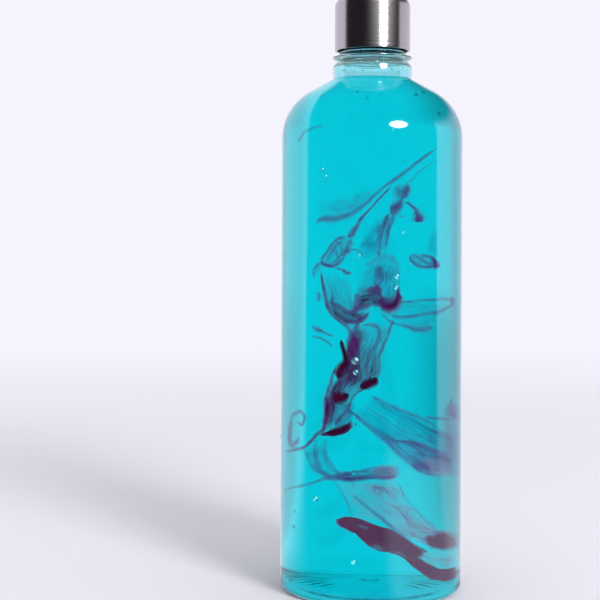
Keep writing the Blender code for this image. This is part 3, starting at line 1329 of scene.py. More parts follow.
class Tone(Enum):
    """How the ink looks in a plume of it."""

    VIOLET = InkFinish(
        "violet_ink",
        thin=(0.26, 0.14, 0.40),
        thick=(0.20, 0.05, 0.18),
        thin_glow=(0.11, 0.0, 0.13),
        thick_glow=(0.12, 0.02, 0.09),
        opacity=0.98,
    )
    MAROON = InkFinish(
        "maroon_ink",
        thin=(0.30, 0.10, 0.30),
        thick=(0.04, 0.0, 0.010),
        thin_glow=(0.13, 0.0, 0.11),
        thick_glow=(0.05, 0.0, 0.012),
        opacity=1.5,
    )
    PLUM = InkFinish(
        "plum_ink",
        thin=(0.28, 0.12, 0.29),
        thick=(0.18, 0.06, 0.16),
        thin_glow=(0.13, 0.0, 0.10),
        thick_glow=(0.11, 0.01, 0.06),
        opacity=1.5,
    )
    CORE = InkFinish(
        "core_ink",
        thin=(0.05, 0.0, 0.02),
        thick=(0.05, 0.0, 0.018),
        thin_glow=(0.05, 0.002, 0.022),
        thick_glow=(0.045, 0.002, 0.02),
        opacity=1.9,
        streaks=9.0,
        streak_depth=0.2,
        wisp=0.2,
    )
    DUSKY = InkFinish(
        "dusky_ink",
        thin=(0.30, 0.13, 0.26),
        thick=(0.18, 0.08, 0.12),
        thin_glow=(0.17, 0.01, 0.10),
        thick_glow=(0.18, 0.025, 0.07),
        opacity=1.9,
        streaks=9.0,
        streak_depth=0.35,
        wisp=0.25,
    )
    MILKY = InkFinish(
        "milky_ink",
        thin=(0.60, 0.46, 0.60),
        thick=(0.38, 0.20, 0.36),
        thin_glow=(0.42, 0.14, 0.22),
        thick_glow=(0.36, 0.06, 0.17),
        opacity=0.8,
        streaks=8.0,
        streak_depth=0.5,
        wisp=0.3,
    )


def unit_grid(
    shape: bmesh.types.BMesh, columns: int, rows: int
) -> tuple[list[bmesh.types.BMVert], list[bmesh.types.BMFace]]:
    """Add a flat grid, one unit wide and centred, to a bmesh.

    Args:
        shape: the bmesh.
        columns: how many faces it is long.
        rows: how many faces it is wide.

    Returns:
        Its vertices and its faces.
    """
    grid = bmesh.ops.create_grid(shape, x_segments=columns, y_segments=rows, size=0.5)["verts"]
    return grid, list({face for vertex in grid for face in vertex.link_faces})


@dataclass(frozen=True)
class Veil:
    """A sheet of ink between two edges that are seen in the photograph.

    Its density changes along the edges and across them, in even steps, and it fades at its borders.
    """

    one_edge: tuple[Spot, ...]
    other_edge: tuple[Spot, ...]
    along: tuple[float, ...] = (0.8, 1.0, 0.8)
    across: tuple[float, ...] = (1.0, 0.6, 1.0)
    bulge: float = 0.04
    ripple: float = 0.02
    wobble: float = 1.2
    soft: float = 0.16
    columns: int = 72
    rows: int = 24
    thickness: float = 0.12 * MM
    evenness: float = 0.85
    blotchiness: float = 0.6
    blotches: Point = (5.0, 3.0)
    drifts: Point = (6.0, 3.0)
    depths: Point = (0.012, 0.97)

    def strength(self, along: float, across: float, seed: float) -> float:
        """Find how dense the ink is at a place on the sheet, which fades at its borders.

        Args:
            along: share of the way along the sheet's edges.
            across: share of the way from its one edge to the other.
            seed: what its blotches start from.

        Returns:
            The density.
        """
        fade = 1.0
        for share in (along, 1 - along, across, 1 - across):
            fade *= min(max(share / self.soft, 0.0), 1.0)
        spot = Vector((along * self.blotches[0], across * self.blotches[1], seed))
        blotch = self.evenness + self.blotchiness * noise.noise(spot)
        return graded(self.along, along) * graded(self.across, across) * fade * blotch

    def place(self, view: PhotoView, along: float, across: float, seed: float) -> Vector:
        """Find where a place on the sheet lies in the bottle.

        Args:
            view: the camera that the edges are seen with.
            along: share of the way along the sheet's edges.
            across: share of the way from its one edge to the other.
            seed: what its ripples start from.

        Returns:
            The place.
        """
        one, other = Vector(flowing(self.one_edge, along)), Vector(flowing(self.other_edge, along))
        spot = one.lerp(other, across)
        drift = noise.noise_vector(Vector((along * self.drifts[0], across * self.drifts[1], seed)))
        spot.x += self.wobble * drift.x
        spot.y += self.wobble * drift.y
        spot.z += self.bulge * math.sin(math.pi * across) + self.ripple * drift.z
        nearest, farthest = self.depths
        spot.z = min(max(spot.z, nearest), farthest)
        return view.inside((spot.x, spot.y, spot.z))

    def add_to(self, shape: bmesh.types.BMesh, view: PhotoView, seed: float) -> None:
        """Add the sheet to a plume's shape.

        Args:
            shape: the plume's bmesh, which has a flow map and an ink layer.
            view: the camera that the edges are seen with.
            seed: what the sheet's ripples start from.
        """
        flow = shape.loops.layers.uv["flow"]
        ink = shape.verts.layers.float["ink"]
        grid, faces = unit_grid(shape, self.columns, self.rows)
        for face in faces:
            for loop in face.loops:
                loop[flow].uv = (loop.vert.co.x + 0.5 + seed, loop.vert.co.y + 0.5)
        for vertex in grid:
            along, across = vertex.co.x + 0.5, vertex.co.y + 0.5
            vertex[ink] = self.strength(along, across, seed)
            vertex.co = self.place(view, along, across, seed)
        bmesh.ops.recalc_face_normals(shape, faces=faces)
        bmesh.ops.solidify(shape, geom=faces, thickness=self.thickness)


@dataclass(frozen=True)
class Strand:
    """A strand of ink along a line that is seen in the photograph, with a haze round it."""

    path: tuple[Spot, ...]
    widths: tuple[float, ...]
    strength: float = 0.6
    steps: int = 44
    sides: int = 8
    wobble: float = 0.7
    bends: float = 0.9
    map_width: float = 0.1
    tapering: float = 5.0
    tip_strength: float = 0.5
    layers: tuple[Point, ...] = ((2.1, 0.16), (1.4, 0.34), (0.8, 0.55))

    def add_to(self, shape: bmesh.types.BMesh, view: PhotoView, seed: float) -> None:
        """Add the strand to a plume's shape.

        Args:
            shape: the plume's bmesh, which has a flow map and an ink layer.
            view: the camera that the path is seen with.
            seed: where the strand starts in the flow map.
        """
        shares = [step / self.steps for step in range(self.steps + 1)]
        line = []
        for share in shares:
            drift = noise.noise_vector(Vector((share * len(self.path) * self.bends, seed, 0))) * self.wobble
            across, down, depth = flowing(self.path, share)
            line.append(view.inside((across + drift.x, down + drift.y, depth)))
        flow = shape.loops.layers.uv["flow"]
        ink = shape.verts.layers.float["ink"]
        for grown, share_of_strength in self.layers:
            grid, faces = unit_grid(shape, self.steps, self.sides)
            for face in faces:
                for loop in face.loops:
                    loop[flow].uv = (loop.vert.co.x + seed, loop.vert.co.y * self.map_width)
            for vertex in grid:
                along, turn = vertex.co.x + 0.5, vertex.co.y * math.tau
                index = round(along * self.steps)
                ahead = line[min(index + 1, self.steps)] - line[max(index - 1, 0)]
                aside = ahead.cross(Vector((0, 1, 0))).normalized()
                above = aside.cross(ahead).normalized()
                taper = math.sin(math.pi * min(0.5, self.tapering * along, self.tapering * (1 - along)))
                radius = graded(self.widths, along) * (view.pixel / 2) * grown * taper
                vertex.co = line[index] + (aside * math.cos(turn) + above * math.sin(turn)) * radius
                fade = self.tip_strength + (1 - self.tip_strength) * taper
                vertex[ink] = self.strength * share_of_strength * fade


@dataclass(frozen=True)
class Plume:
    """A part of the ink: its sheets and strands, in one tone."""

    name: str
    tone: Tone
    parts: tuple[Veil | Strand, ...]

    def build(self, view: PhotoView, finish: bpy.types.Material, seed: float) -> bpy.types.Object:
        """Make the plume.

        Args:
            view: the camera that the ink is seen with.
            finish: the tone's material.
            seed: what its ripples start from.

        Returns:
            The piece, which rides on the bottle.
        """
        shape = bmesh.new()
        shape.loops.layers.uv.new("flow")
        shape.verts.layers.float.new("ink")
        for index, part in enumerate(self.parts):
            part.add_to(shape, view, seed + index * PART_STEP)
        return placed(finished_mesh(self.name, shape), finish, Body.BOTTLE)


def spots(depth: float, *pixels: Point) -> tuple[Spot, ...]:
    """Put pixels that are seen in the photograph at one share of the way through the bottle."""
    return tuple((across, down, depth) for across, down in pixels)


def strand(depth: float, strength: float, steps: int, *marks: Spot) -> Strand:
    """Lay out a strand at one share of the way through the bottle.

    Args:
        depth: share of the way from the front to the back.
        strength: how dense its ink is.
        steps: how many stretches it has.
        marks: pixel from the left, pixel from the top and width in pixels, from end to end.

    Returns:
        The strand.
    """
    path = spots(depth, *((across, down) for across, down, _ in marks))
    return Strand(path, tuple(width for _, _, width in marks), strength, steps)


CROWN = Plume(
    "ink_crown",
    Tone.VIOLET,
    (
        Veil(
            spots(0.10, (386, 186), (366, 203), (344, 215), (317, 219)),
            spots(0.16, (376, 184), (354, 192), (336, 197), (315, 196)),
            along=(0.2, 0.36, 0.42, 0.4), across=(1.0, 0.5, 0.12), soft=0.3,
        ),
        Veil(
            spots(0.06, (390, 217), (388, 208), (390, 197), (392, 188), (398, 179)),
            spots(0.07, (397, 217), (404, 208), (410, 199), (413, 190), (412, 182)),
            along=(0.75, 0.7, 0.5, 0.5, 0.2), across=(0.75, 0.9, 0.85), soft=0.25,
        ),
        Veil(
            spots(0.08, (389, 210), (383, 222), (379, 236), (377, 259)),
            spots(0.09, (399, 210), (393, 224), (389.5, 238), (386, 257)),
            along=(0.7, 0.62, 0.55, 0.4), across=(1.0, 0.6, 0.8), soft=0.2,
        ),
        Veil(
            spots(0.25, (380, 212), (368, 228), (357, 246), (358, 262)),
            spots(0.25, (390, 214), (384, 230), (380, 246), (379, 262)),
            along=(0.16, 0.46, 0.55, 0.36), across=(0.3, 0.8, 1.0), soft=0.35,
        ),
        strand(
            0.09, 0.44, 44, (437, 148.5, 1.4), (427, 154.6, 2.2), (414, 164.8, 2.8), (401.4, 175, 3.0),
            (392.4, 181.4, 2.6), (384.8, 186, 2.2), (372, 198, 2.2), (364.4, 204.6, 2.6),
            (356.7, 210, 3.4), (346.5, 215.2, 4.4), (336.3, 218.4, 5.6), (326, 218.6, 6.0),
            (317.5, 220.5, 4.6),
        ),
        strand(0.09, 0.2, 24, (435, 159.5, 1.0), (423, 168.7, 1.8), (411.6, 179, 2.2), (404, 186, 1.4)),
        strand(
            0.05, 0.3, 24, (352, 213, 1.6), (342, 217, 2.6), (331, 219, 2.8), (321, 219, 2.8),
            (318, 224, 3.6),
        ),
        strand(
            0.05, 0.84, 44, (392, 184, 1.0), (382, 196, 1.4), (370, 209, 1.6), (361.8, 218.4, 2.2),
            (356.7, 226, 3.2), (352.5, 232.6, 4.4), (347.5, 238, 4.2),
        ),
        strand(
            0.05, 0.72, 28, (405, 202, 1.4), (410, 205, 2.0), (414.5, 209, 3.0), (417, 214, 5.6),
            (418.2, 219, 8.6), (418, 223, 7.0),
        ),
        strand(0.05, 0.8, 12, (417, 216, 3.0), (418.5, 219.5, 5.4), (418.5, 222, 3.0)),
        strand(0.05, 0.5, 20, (408, 184, 2.6), (406.5, 189, 4.6), (404, 194, 3.6), (401, 199, 2.0)),
        strand(0.05, 0.62, 20, (402, 200, 2.4), (398.5, 205, 5.0), (395, 209, 5.6), (391, 215, 3.6)),
        strand(
            0.07, 0.4, 44, (389.5, 214.5, 3.0), (384.8, 221, 4.0), (380, 232.4, 4.0),
            (378.4, 245.2, 3.4), (378.4, 258, 2.6),
        ),
        strand(0.07, 0.3, 28, (391, 218, 1.8), (388, 231, 2.6), (385.6, 247.8, 2.2)),
        strand(0.07, 0.26, 16, (396, 215.6, 1.2), (401, 216.4, 1.8), (406, 215.6, 1.2)),
        strand(0.14, 0.3, 24, (299, 142, 3.4), (305, 133, 2.0), (313, 129, 1.8), (325, 126.5, 1.0)),
    ),
)

LEAF = Plume(
    "ink_leaf",
    Tone.VIOLET,
    (
        Veil(
            spots(0.05, (349, 235), (339, 235), (331, 242), (326, 251), (319, 261)),
            spots(0.05, (352, 241), (348.5, 251), (344, 258), (335, 266), (322, 265)),
            along=(0.7, 0.55, 0.5, 0.6, 0.8), across=(0.8, 0.45, 0.5, 0.4, 0.9),
        ),
        Veil(
            spots(0.05, (322, 258), (316, 264), (312, 272), (313, 279)),
            spots(0.05, (328, 263), (322, 269), (317, 276), (316, 281)),
            along=(0.5, 0.4, 0.3, 0.1), soft=0.3, columns=28, rows=12,
        ),
        strand(
            0.04, 0.72, 32, (345, 256, 1.4), (339, 263, 2.4), (332.5, 266, 2.6), (326, 265, 2.6),
            (320.5, 261, 2.6),
        ),
        strand(0.04, 0.42, 28, (351, 238, 3.4), (349, 245, 5.0), (346.5, 251, 5.0), (343, 256, 2.4)),
        strand(
            0.04, 0.42, 44, (347, 237, 2.0), (338.5, 239, 1.8), (332, 245, 1.8), (326.5, 253, 2.0),
            (320.5, 261, 2.4),
        ),
        strand(0.04, 0.4, 44, (344, 241, 1.0), (337, 245, 1.2), (332, 252, 1.3), (327, 259, 1.0)),
        strand(0.04, 0.4, 24, (336, 241, 1.0), (341, 246, 1.3), (342, 252, 1.3), (338, 259, 1.0)),
        strand(0.04, 0.4, 20, (331, 249, 1.0), (336.5, 252, 1.3), (337, 259, 1.3), (332, 262, 1.0)),
        strand(
            0.06, 0.4, 24, (346, 252, 3.0), (350, 250, 1.8), (357, 250.3, 1.6), (361, 253, 1.4),
            (364, 257, 1.0),
        ),
        strand(
            0.05, 0.62, 20, (337, 268, 1.0), (342, 269.5, 1.8), (347, 272.5, 3.0), (352, 273.5, 1.6),
        ),
        strand(0.05, 0.26, 20, (321, 264, 1.0), (334, 267.6, 1.2), (341, 269.4, 1.0)),
        strand(0.05, 0.3, 20, (320, 262, 2.6), (315, 269, 2.2), (314, 277, 1.4)),
    ),
)

BELL = Plume(
    "ink_bell",
    Tone.VIOLET,
    (
        Veil(
            spots(0.08, (374, 257), (362, 272), (356, 290), (353, 311)),
            spots(0.08, (393, 257), (400, 272), (401, 290), (400, 306)),
            along=(0.2, 0.54, 0.64, 0.82), across=(0.7, 0.5, 0.8, 0.6, 0.7), bulge=0.10, soft=0.22,
        ),
        strand(
            0.07, 0.26, 44, (364, 265, 1.6), (369, 263.4, 2.8), (375, 261, 3.6), (382, 257.6, 4.6),
            (389, 258, 4.6), (395, 262, 3.4), (398, 270, 2.2), (398.5, 283, 1.6),
        ),
        strand(0.07, 0.45, 28, (380, 266, 3.8), (377.5, 274, 3.8), (376, 283, 3.2), (378, 291, 2.6)),
        strand(0.07, 0.26, 28, (366, 300, 2.0), (374, 291, 2.6), (379, 284, 2.4), (383, 278, 1.2)),
        strand(0.06, 0.6, 16, (398, 286, 1.6), (398, 293, 2.8), (398, 300, 3.0)),
    ),
)

BELL_RIM = Plume(
    "ink_bell_rim",
    Tone.MAROON,
    (
        Veil(
            spots(
                0.045, (356, 287), (364, 286), (372, 286), (379, 289), (383, 294), (388, 297),
                (393, 294), (399, 286),
            ),
            spots(
                0.045, (352, 314), (360, 312), (368, 309), (373, 306), (380, 308), (386, 311),
                (394, 309), (400, 302),
            ),
            along=(0.5, 0.55, 0.5, 0.5, 0.6, 0.66, 0.66, 0.7), across=(0.5, 0.8, 0.95), bulge=0.02,
        ),
        Veil(
            spots(0.06, (320, 270), (323, 288), (328, 306), (338, 319), (350, 330)),
            spots(0.09, (350, 274), (354, 290), (355, 304), (362, 313), (371, 318)),
            along=(0.2, 0.28, 0.42, 0.56, 0.45), across=(0.8, 0.5, 0.6), bulge=0.08, soft=0.2,
        ),
        Veil(
            spots(0.04, (328, 301), (338, 304), (345, 309), (353, 312), (362, 311), (370, 306)),
            spots(0.04, (329, 309), (337, 318), (345, 323), (355, 324), (364, 320), (372, 311)),
            along=(0.3, 0.42, 0.46, 0.5, 0.46, 0.4), across=(0.8, 0.75, 0.9),
        ),
        strand(
            0.03, 0.66, 36, (382, 297, 3.0), (382.5, 303, 4.6), (386, 308.5, 6.0), (393, 307.5, 6.4),
            (398, 301, 5.6), (398, 291, 2.4),
        ),
        strand(0.04, 0.45, 28, (366, 292, 2.0), (372, 288.5, 3.4), (378, 289, 3.6), (381, 294, 3.0)),
        strand(0.04, 0.34, 28, (356, 293, 3.0), (357, 301, 4.6), (355, 309, 4.6), (352, 313, 2.6)),
        strand(0.04, 0.34, 28, (353, 312, 3.0), (359, 309, 4.4), (365, 306, 4.6), (371, 304, 3.0)),
        strand(
            0.05, 0.5, 44, (321, 269, 1.2), (322.5, 280, 1.8), (325, 293, 2.8), (327.5, 304.6, 3.0),
            (331.5, 313, 2.6), (338, 319, 2.4), (345.5, 324.5, 2.6), (351.6, 333, 3.2), (353, 342, 2.8),
        ),
        strand(0.04, 0.35, 28, (329, 302, 1.4), (338, 305, 1.8), (345.5, 310, 2.2), (353, 313.5, 2.0)),
        strand(0.04, 0.42, 28, (343, 321, 1.8), (352, 322.5, 2.8), (362, 320, 3.0), (369, 313, 2.0)),
    ),
)

STEM = Plume(
    "ink_stem",
    Tone.PLUM,
    (
        Veil(
            spots(
                0.05, (346, 325), (353, 336), (348, 350), (343, 364), (336, 377), (328, 391),
                (326, 404), (325, 418), (319, 434),
            ),
            spots(
                0.06, (393, 318), (387, 333), (381, 346), (379.5, 360), (378, 374), (372, 386),
                (358, 394), (351, 408), (351, 428),
            ),
            along=(0.34, 0.42, 0.5, 0.6, 0.72, 0.82, 0.72, 0.66, 0.7),
            across=(0.95, 0.85, 0.48, 0.4, 0.6), bulge=0.05, ripple=0.03, wobble=1.6, soft=0.1,
            columns=110, rows=36,
        ),
        Veil(
            spots(0.05, (347, 330), (345, 346), (346, 360), (340, 376), (336, 388)),
            spots(0.05, (364, 330), (362, 348), (362, 364), (366, 378), (360, 390)),
            along=(0.4, 0.62, 0.8, 0.7, 0.5), across=(0.9, 0.9, 0.6), soft=0.2,
        ),
        Veil(
            spots(0.04, (320, 434), (330, 429.5), (341, 426.5), (347, 423.5), (352, 420)),
            spots(0.04, (320, 436), (330, 436.5), (341, 435), (348, 432), (353, 427)),
            along=(0.6, 1.1, 1.3, 1.2, 0.7), across=(1.0, 1.0, 0.9), soft=0.1, columns=36, rows=12,
        ),
        strand(0.03, 0.66, 28, (356, 336, 3.0), (355.5, 343, 6.0), (353, 350, 5.4), (350, 357, 3.0)),
        strand(
            0.05, 0.36, 44, (362, 325, 2.0), (371, 324.5, 2.6), (377.5, 328, 2.6), (379, 336.5, 2.4),
            (376, 344, 2.4), (371.5, 352, 2.2), (368, 361, 2.4), (367, 372, 2.4), (369, 380, 2.0),
        ),
        strand(
            0.05, 0.38, 44, (393.7, 319, 2.0), (388.6, 332.7, 2.4), (383.5, 345.4, 2.6),
            (379.7, 354, 2.6), (379.5, 368, 2.6), (377, 379, 2.6),
        ),
        strand(
            0.04, 0.42, 28, (336, 366, 1.4), (333, 375, 2.4), (331, 384, 3.0), (328, 391, 2.8),
            (326, 400, 2.6),
        ),
        strand(0.03, 0.7, 28, (326.5, 396, 3.0), (327, 406, 4.4), (326.8, 416, 4.6), (325, 425, 3.6)),
        strand(
            0.04, 0.5, 44, (326, 420, 3.4), (323.6, 429.3, 3.0), (317.2, 434.4, 2.6), (312, 440.8, 2.4),
            (304.4, 447.2, 2.2), (294, 449.7, 2.0), (285.3, 451, 1.6),
        ),
        strand(0.06, 0.36, 28, (362, 314, 3.0), (358, 323, 3.4), (355, 332, 3.6), (352, 342, 4.0)),
        strand(0.04, 0.35, 28, (351, 402, 1.6), (347, 410, 2.4), (341, 417, 2.4), (335, 426, 2.0)),
    ),
)

STEM_CORES = Plume(
    "ink_stem_cores",
    Tone.CORE,
    (
        strand(
            0.02, 1.0, 44, (341.5, 339, 1.6), (343, 348, 2.6), (346, 357, 3.2), (346, 363, 4.6),
            (341, 370, 6.0), (338, 379, 4.0),
        ),
        strand(0.02, 0.95, 36, (377, 377, 2.2), (373.5, 382, 5.0), (367, 384, 5.6), (360, 388, 2.6)),
        strand(0.02, 1.0, 28, (349, 394, 3.0), (343, 397.5, 6.0), (338, 398.5, 6.6), (334, 401, 3.6)),
        strand(
            0.02, 0.72, 28, (327, 432.5, 1.6), (334, 431.5, 4.0), (341, 429.5, 5.0), (349, 425, 2.6),
        ),
        strand(0.02, 0.6, 20, (327.5, 402, 1.4), (327, 410, 2.0), (326.5, 418, 1.4)),
        strand(0.02, 0.6, 28, (385, 306.5, 1.6), (391, 306.5, 3.0), (396, 302, 3.0), (397.5, 296, 1.4)),
    ),
)

SIDE_LINES = Plume(
    "ink_side_lines",
    Tone.VIOLET,
    (
        Veil(
            spots(0.05, (408, 254.5), (418, 253), (429, 254), (437, 261.5)),
            spots(0.05, (410, 259), (416, 266.5), (427, 268), (438, 268.5)),
            along=(0.5, 0.5, 0.6, 1.1), across=(0.8, 0.55, 0.9), soft=0.12,
        ),
        Veil(
            spots(0.25, (429, 226), (426, 240), (420, 254)),
            spots(0.25, (438, 226), (439, 242), (439, 262)),
            along=(0.12, 0.22, 0.3), across=(0.4, 0.8, 1.0), soft=0.3,
        ),
        Veil(
            spots(0.10, (396, 304), (412, 302), (430, 301), (450, 299)),
            spots(0.12, (384, 314), (396, 322), (412, 328), (434, 327)),
            along=(0.3, 0.2, 0.18, 0.2), across=(0.9, 0.4, 0.9),
        ),
        strand(
            0.07, 0.42, 44, (398, 302.5, 1.8), (410, 301.5, 1.8), (423, 300, 2.2), (435, 299.8, 2.2),
            (446, 299, 2.4), (453, 301, 3.0),
        ),
        strand(0.04, 0.66, 16, (450, 298, 2.6), (451.5, 302, 5.0), (450.5, 307, 2.8)),
        strand(
            0.07, 0.42, 44, (390, 316.5, 1.8), (400, 317, 2.2), (412, 316, 2.4), (428, 313.5, 3.0),
            (437, 312, 3.0), (445, 308.5, 2.4), (452, 304.6, 2.0),
        ),
        strand(
            0.07, 0.42, 44, (380, 313, 2.4), (392, 322, 2.0), (404, 326, 2.6), (416, 328.5, 4.4),
            (426, 328.6, 4.8), (433, 326, 3.0),
        ),
        strand(
            0.05, 0.48, 28, (409, 255, 1.8), (412, 262, 2.2), (418, 266.5, 2.0), (428, 267.5, 2.2),
            (438, 267.5, 3.0),
        ),
        strand(0.05, 0.35, 20, (414, 256, 1.2), (421, 260, 1.6), (427, 264, 1.6), (434, 266, 1.2)),
        strand(0.05, 0.5, 20, (420, 255, 1.2), (429, 256.5, 2.0), (435, 262, 2.6), (437.5, 267, 3.6)),
        strand(0.03, 0.7, 12, (433, 263.5, 3.0), (436, 265, 5.0), (438.5, 267, 3.0)),
        strand(0.05, 0.5, 28, (312, 326.5, 2.6), (318, 329.5, 3.4), (325, 332.5, 2.0), (335, 337, 1.2)),
        strand(0.05, 0.38, 28, (312, 336, 1.8), (323.6, 339, 1.8), (334, 346.5, 1.2)),
        strand(0.05, 0.45, 14, (318, 292, 1.6), (319.5, 296.5, 3.4), (319, 302, 1.8)),
        strand(
            0.03, 0.56, 44, (291.5, 421, 2.4), (294, 414.5, 2.8), (301, 411.5, 2.6), (305.5, 417, 2.4),
            (302.5, 424, 2.2), (297, 421, 1.4),
        ),
        strand(
            0.03, 0.6, 44, (292, 419, 3.4), (291.2, 430, 4.6), (291, 440, 4.8), (293, 444.5, 4.4),
            (297, 442.5, 3.0), (300.5, 436, 1.6),
        ),
    ),
)

DIAGONALS = Plume(
    "ink_diagonals",
    Tone.VIOLET,
    (
        Veil(
            spots(0.34, (372, 396), (391, 405), (410, 413), (436, 426), (458, 436)),
            spots(0.30, (352, 412), (372, 430), (397, 452), (426, 473), (456, 474)),
            along=(0.26, 0.34, 0.42, 0.52, 0.6), across=(0.9, 0.5, 0.7, 0.9), bulge=0.03, wobble=2.0,
            soft=0.1, columns=96, rows=30,
        ),
        Veil(
            spots(0.07, (390, 440), (410, 441), (426, 446), (441, 453), (458, 460)),
            spots(0.07, (398, 450), (410, 461), (424, 471), (440, 476), (458, 477)),
            along=(0.3, 0.5, 0.7, 0.85, 0.85), across=(0.95, 0.5, 0.95), soft=0.2,
        ),
        Veil(
            spots(0.30, (330, 402), (328, 414), (326, 428)),
            spots(0.30, (356, 402), (354, 414), (352, 428)),
            along=(0.45, 0.45, 0.4),
        ),
        Veil(
            spots(0.04, (442, 404), (448, 402), (454, 403), (460, 406)),
            spots(0.04, (441, 416), (448, 417), (454, 417), (460, 416)),
            along=(0.4, 0.75, 0.75, 0.5), across=(0.3, 0.7, 1.0), soft=0.25, columns=24, rows=16,
        ),
        Veil(
            spots(0.04, (438, 400), (439, 420), (440, 440), (440, 456), (442, 472)),
            spots(0.04, (461, 400), (461, 420), (461, 440), (461, 456), (461, 474)),
            along=(0.15, 0.45, 0.62, 0.75, 0.6), across=(0.4, 0.7, 0.8), soft=0.3,
        ),
        strand(
            0.09, 0.34, 44, (370, 395, 1.6), (381, 400.5, 2.6), (392.4, 406.4, 3.0), (410.3, 414, 3.0),
            (424.3, 420, 2.8), (438, 428.5, 2.2),
        ),
        strand(
            0.07, 0.56, 44, (349, 410, 1.6), (358, 417, 2.4), (367, 425.5, 2.8), (384.8, 439.5, 3.6),
            (398.8, 453, 3.6), (407.8, 461, 3.2), (414, 466.3, 3.0), (420.5, 471, 2.4),
            (431, 474.4, 2.2), (445, 476.4, 2.0),
        ),
        strand(
            0.05, 0.62, 44, (388, 440, 1.4), (400, 441, 1.8), (410, 442, 2.0), (418, 444.5, 3.0),
            (427, 448.4, 4.4), (436, 451.6, 4.0), (444, 456, 3.0), (452, 463, 3.0),
        ),
        strand(0.05, 0.6, 24, (412, 464, 2.4), (418, 466, 5.0), (424, 467, 5.0), (430, 470, 2.4)),
        strand(
            0.09, 0.42, 28, (424, 416.4, 1.8), (436, 418, 2.0), (447.3, 418.5, 2.0), (460, 416.6, 2.2),
        ),
        strand(0.04, 0.45, 20, (449, 396, 2.0), (450.5, 404, 4.0), (452, 412, 6.0), (452, 417, 3.6)),
        strand(0.08, 0.16, 44, (362, 404, 1.4), (380, 416, 2.0), (398, 428, 2.0), (420, 437, 1.6)),
    ),
)

FLOOR_LINES = Plume(
    "ink_floor_lines",
    Tone.VIOLET,
    (
        Veil(
            spots(0.08, (334, 473), (352, 470), (372, 466), (388, 464), (402, 466)),
            spots(0.07, (330, 480), (350, 481), (372, 479), (388, 480), (400, 478)),
            along=(0.5, 0.8, 0.6, 0.7, 0.5), across=(0.6, 0.9, 1.0), soft=0.2,
        ),
        Veil(
            spots(0.12, (304, 449), (308, 458), (314, 469), (322, 474), (330, 479)),
            spots(0.14, (326, 438), (327, 454), (333, 466), (342, 472), (350, 476)),
            along=(0.3, 0.4, 0.45, 0.45, 0.3), across=(1.0, 0.8, 0.45, 0.8),
        ),
        strand(
            0.06, 0.5, 44, (285, 489.5, 1.8), (304, 485.5, 2.2), (318, 481, 2.2), (328, 477.5, 3.0),
            (338, 478, 3.6), (352, 479.5, 3.0), (370, 478, 2.2), (386, 478, 2.2), (397, 475, 1.6),
        ),
        strand(0.05, 0.42, 24, (326, 479, 2.0), (334, 476.5, 4.6), (343, 474.5, 4.6), (352, 472, 2.4)),
        strand(
            0.06, 0.3, 28, (304.4, 448.5, 2.4), (308.3, 457.4, 3.0), (314.6, 468.5, 3.2),
            (321, 473, 3.0), (328, 477.5, 2.4),
        ),
        strand(
            0.08, 0.26, 28, (316, 438, 2.0), (315.5, 450, 3.6), (317, 462, 3.6), (323, 471, 3.0),
            (330, 476, 2.0),
        ),
        strand(0.10, 0.26, 28, (325, 437, 2.0), (326, 452, 2.8), (333, 466, 2.8), (341, 474, 2.0)),
        strand(
            0.03, 0.36, 44, (352, 494, 1.2), (364, 504.6, 2.0), (378, 515.5, 2.6), (392, 527.5, 3.0),
            (404, 538, 3.0), (414, 546, 2.0),
        ),
        strand(
            0.03, 0.2, 44, (397.6, 482, 1.2), (404, 496, 1.4), (412, 506, 1.6), (424, 518, 2.4),
            (438, 532, 4.0),
        ),
        strand(0.03, 0.22, 28, (334, 481, 1.6), (341.4, 492, 2.0), (347, 502, 1.8), (352, 515, 1.2)),
    ),
)

PALE_VEIL = Plume(
    "ink_pale_veil",
    Tone.MILKY,
    (
        Veil(
            spots(0.05, (333, 480), (341, 492), (348, 507), (352, 519)),
            spots(0.05, (398, 478), (412, 505), (425, 518), (450, 538)),
            along=(0.55, 0.62, 0.66, 0.7), across=(0.3, 0.5, 1.0, 0.9), bulge=0.05, ripple=0.03,
            wobble=3.0, soft=0.14, columns=96, rows=36,
        ),
        Veil(
            spots(0.04, (368, 467), (380, 464), (392, 464), (402, 467)),
            spots(0.04, (368, 480), (380, 482), (392, 482), (400, 479)),
            along=(0.3, 0.6, 0.7, 0.4), across=(0.6, 0.9, 0.7), soft=0.3, columns=36, rows=16,
        ),
        Veil(
            spots(0.04, (420, 458), (430, 456), (440, 458), (450, 464)),
            spots(0.04, (424, 474), (432, 477), (442, 477), (452, 474)),
            along=(0.35, 0.6, 0.6, 0.4), across=(0.6, 0.8, 0.6), soft=0.25, columns=36, rows=16,
        ),
        Veil(
            spots(0.04, (382, 520), (400, 524), (420, 528), (440, 528), (460, 526)),
            spots(0.04, (392, 533), (408, 540), (424, 545), (440, 548), (460, 548)),
            along=(0.5, 0.8, 0.9, 0.8, 0.7), across=(0.5, 0.9, 0.9), soft=0.2, columns=48, rows=20,
        ),
        Veil(
            spots(0.04, (412, 552), (424, 549), (440, 550), (460, 550)),
            spots(0.04, (420, 565), (430, 569), (444, 570), (460, 568)),
            along=(0.2, 0.4, 0.45, 0.4), across=(0.8, 0.9, 0.8), soft=0.2, columns=48, rows=20,
        ),
    ),
)

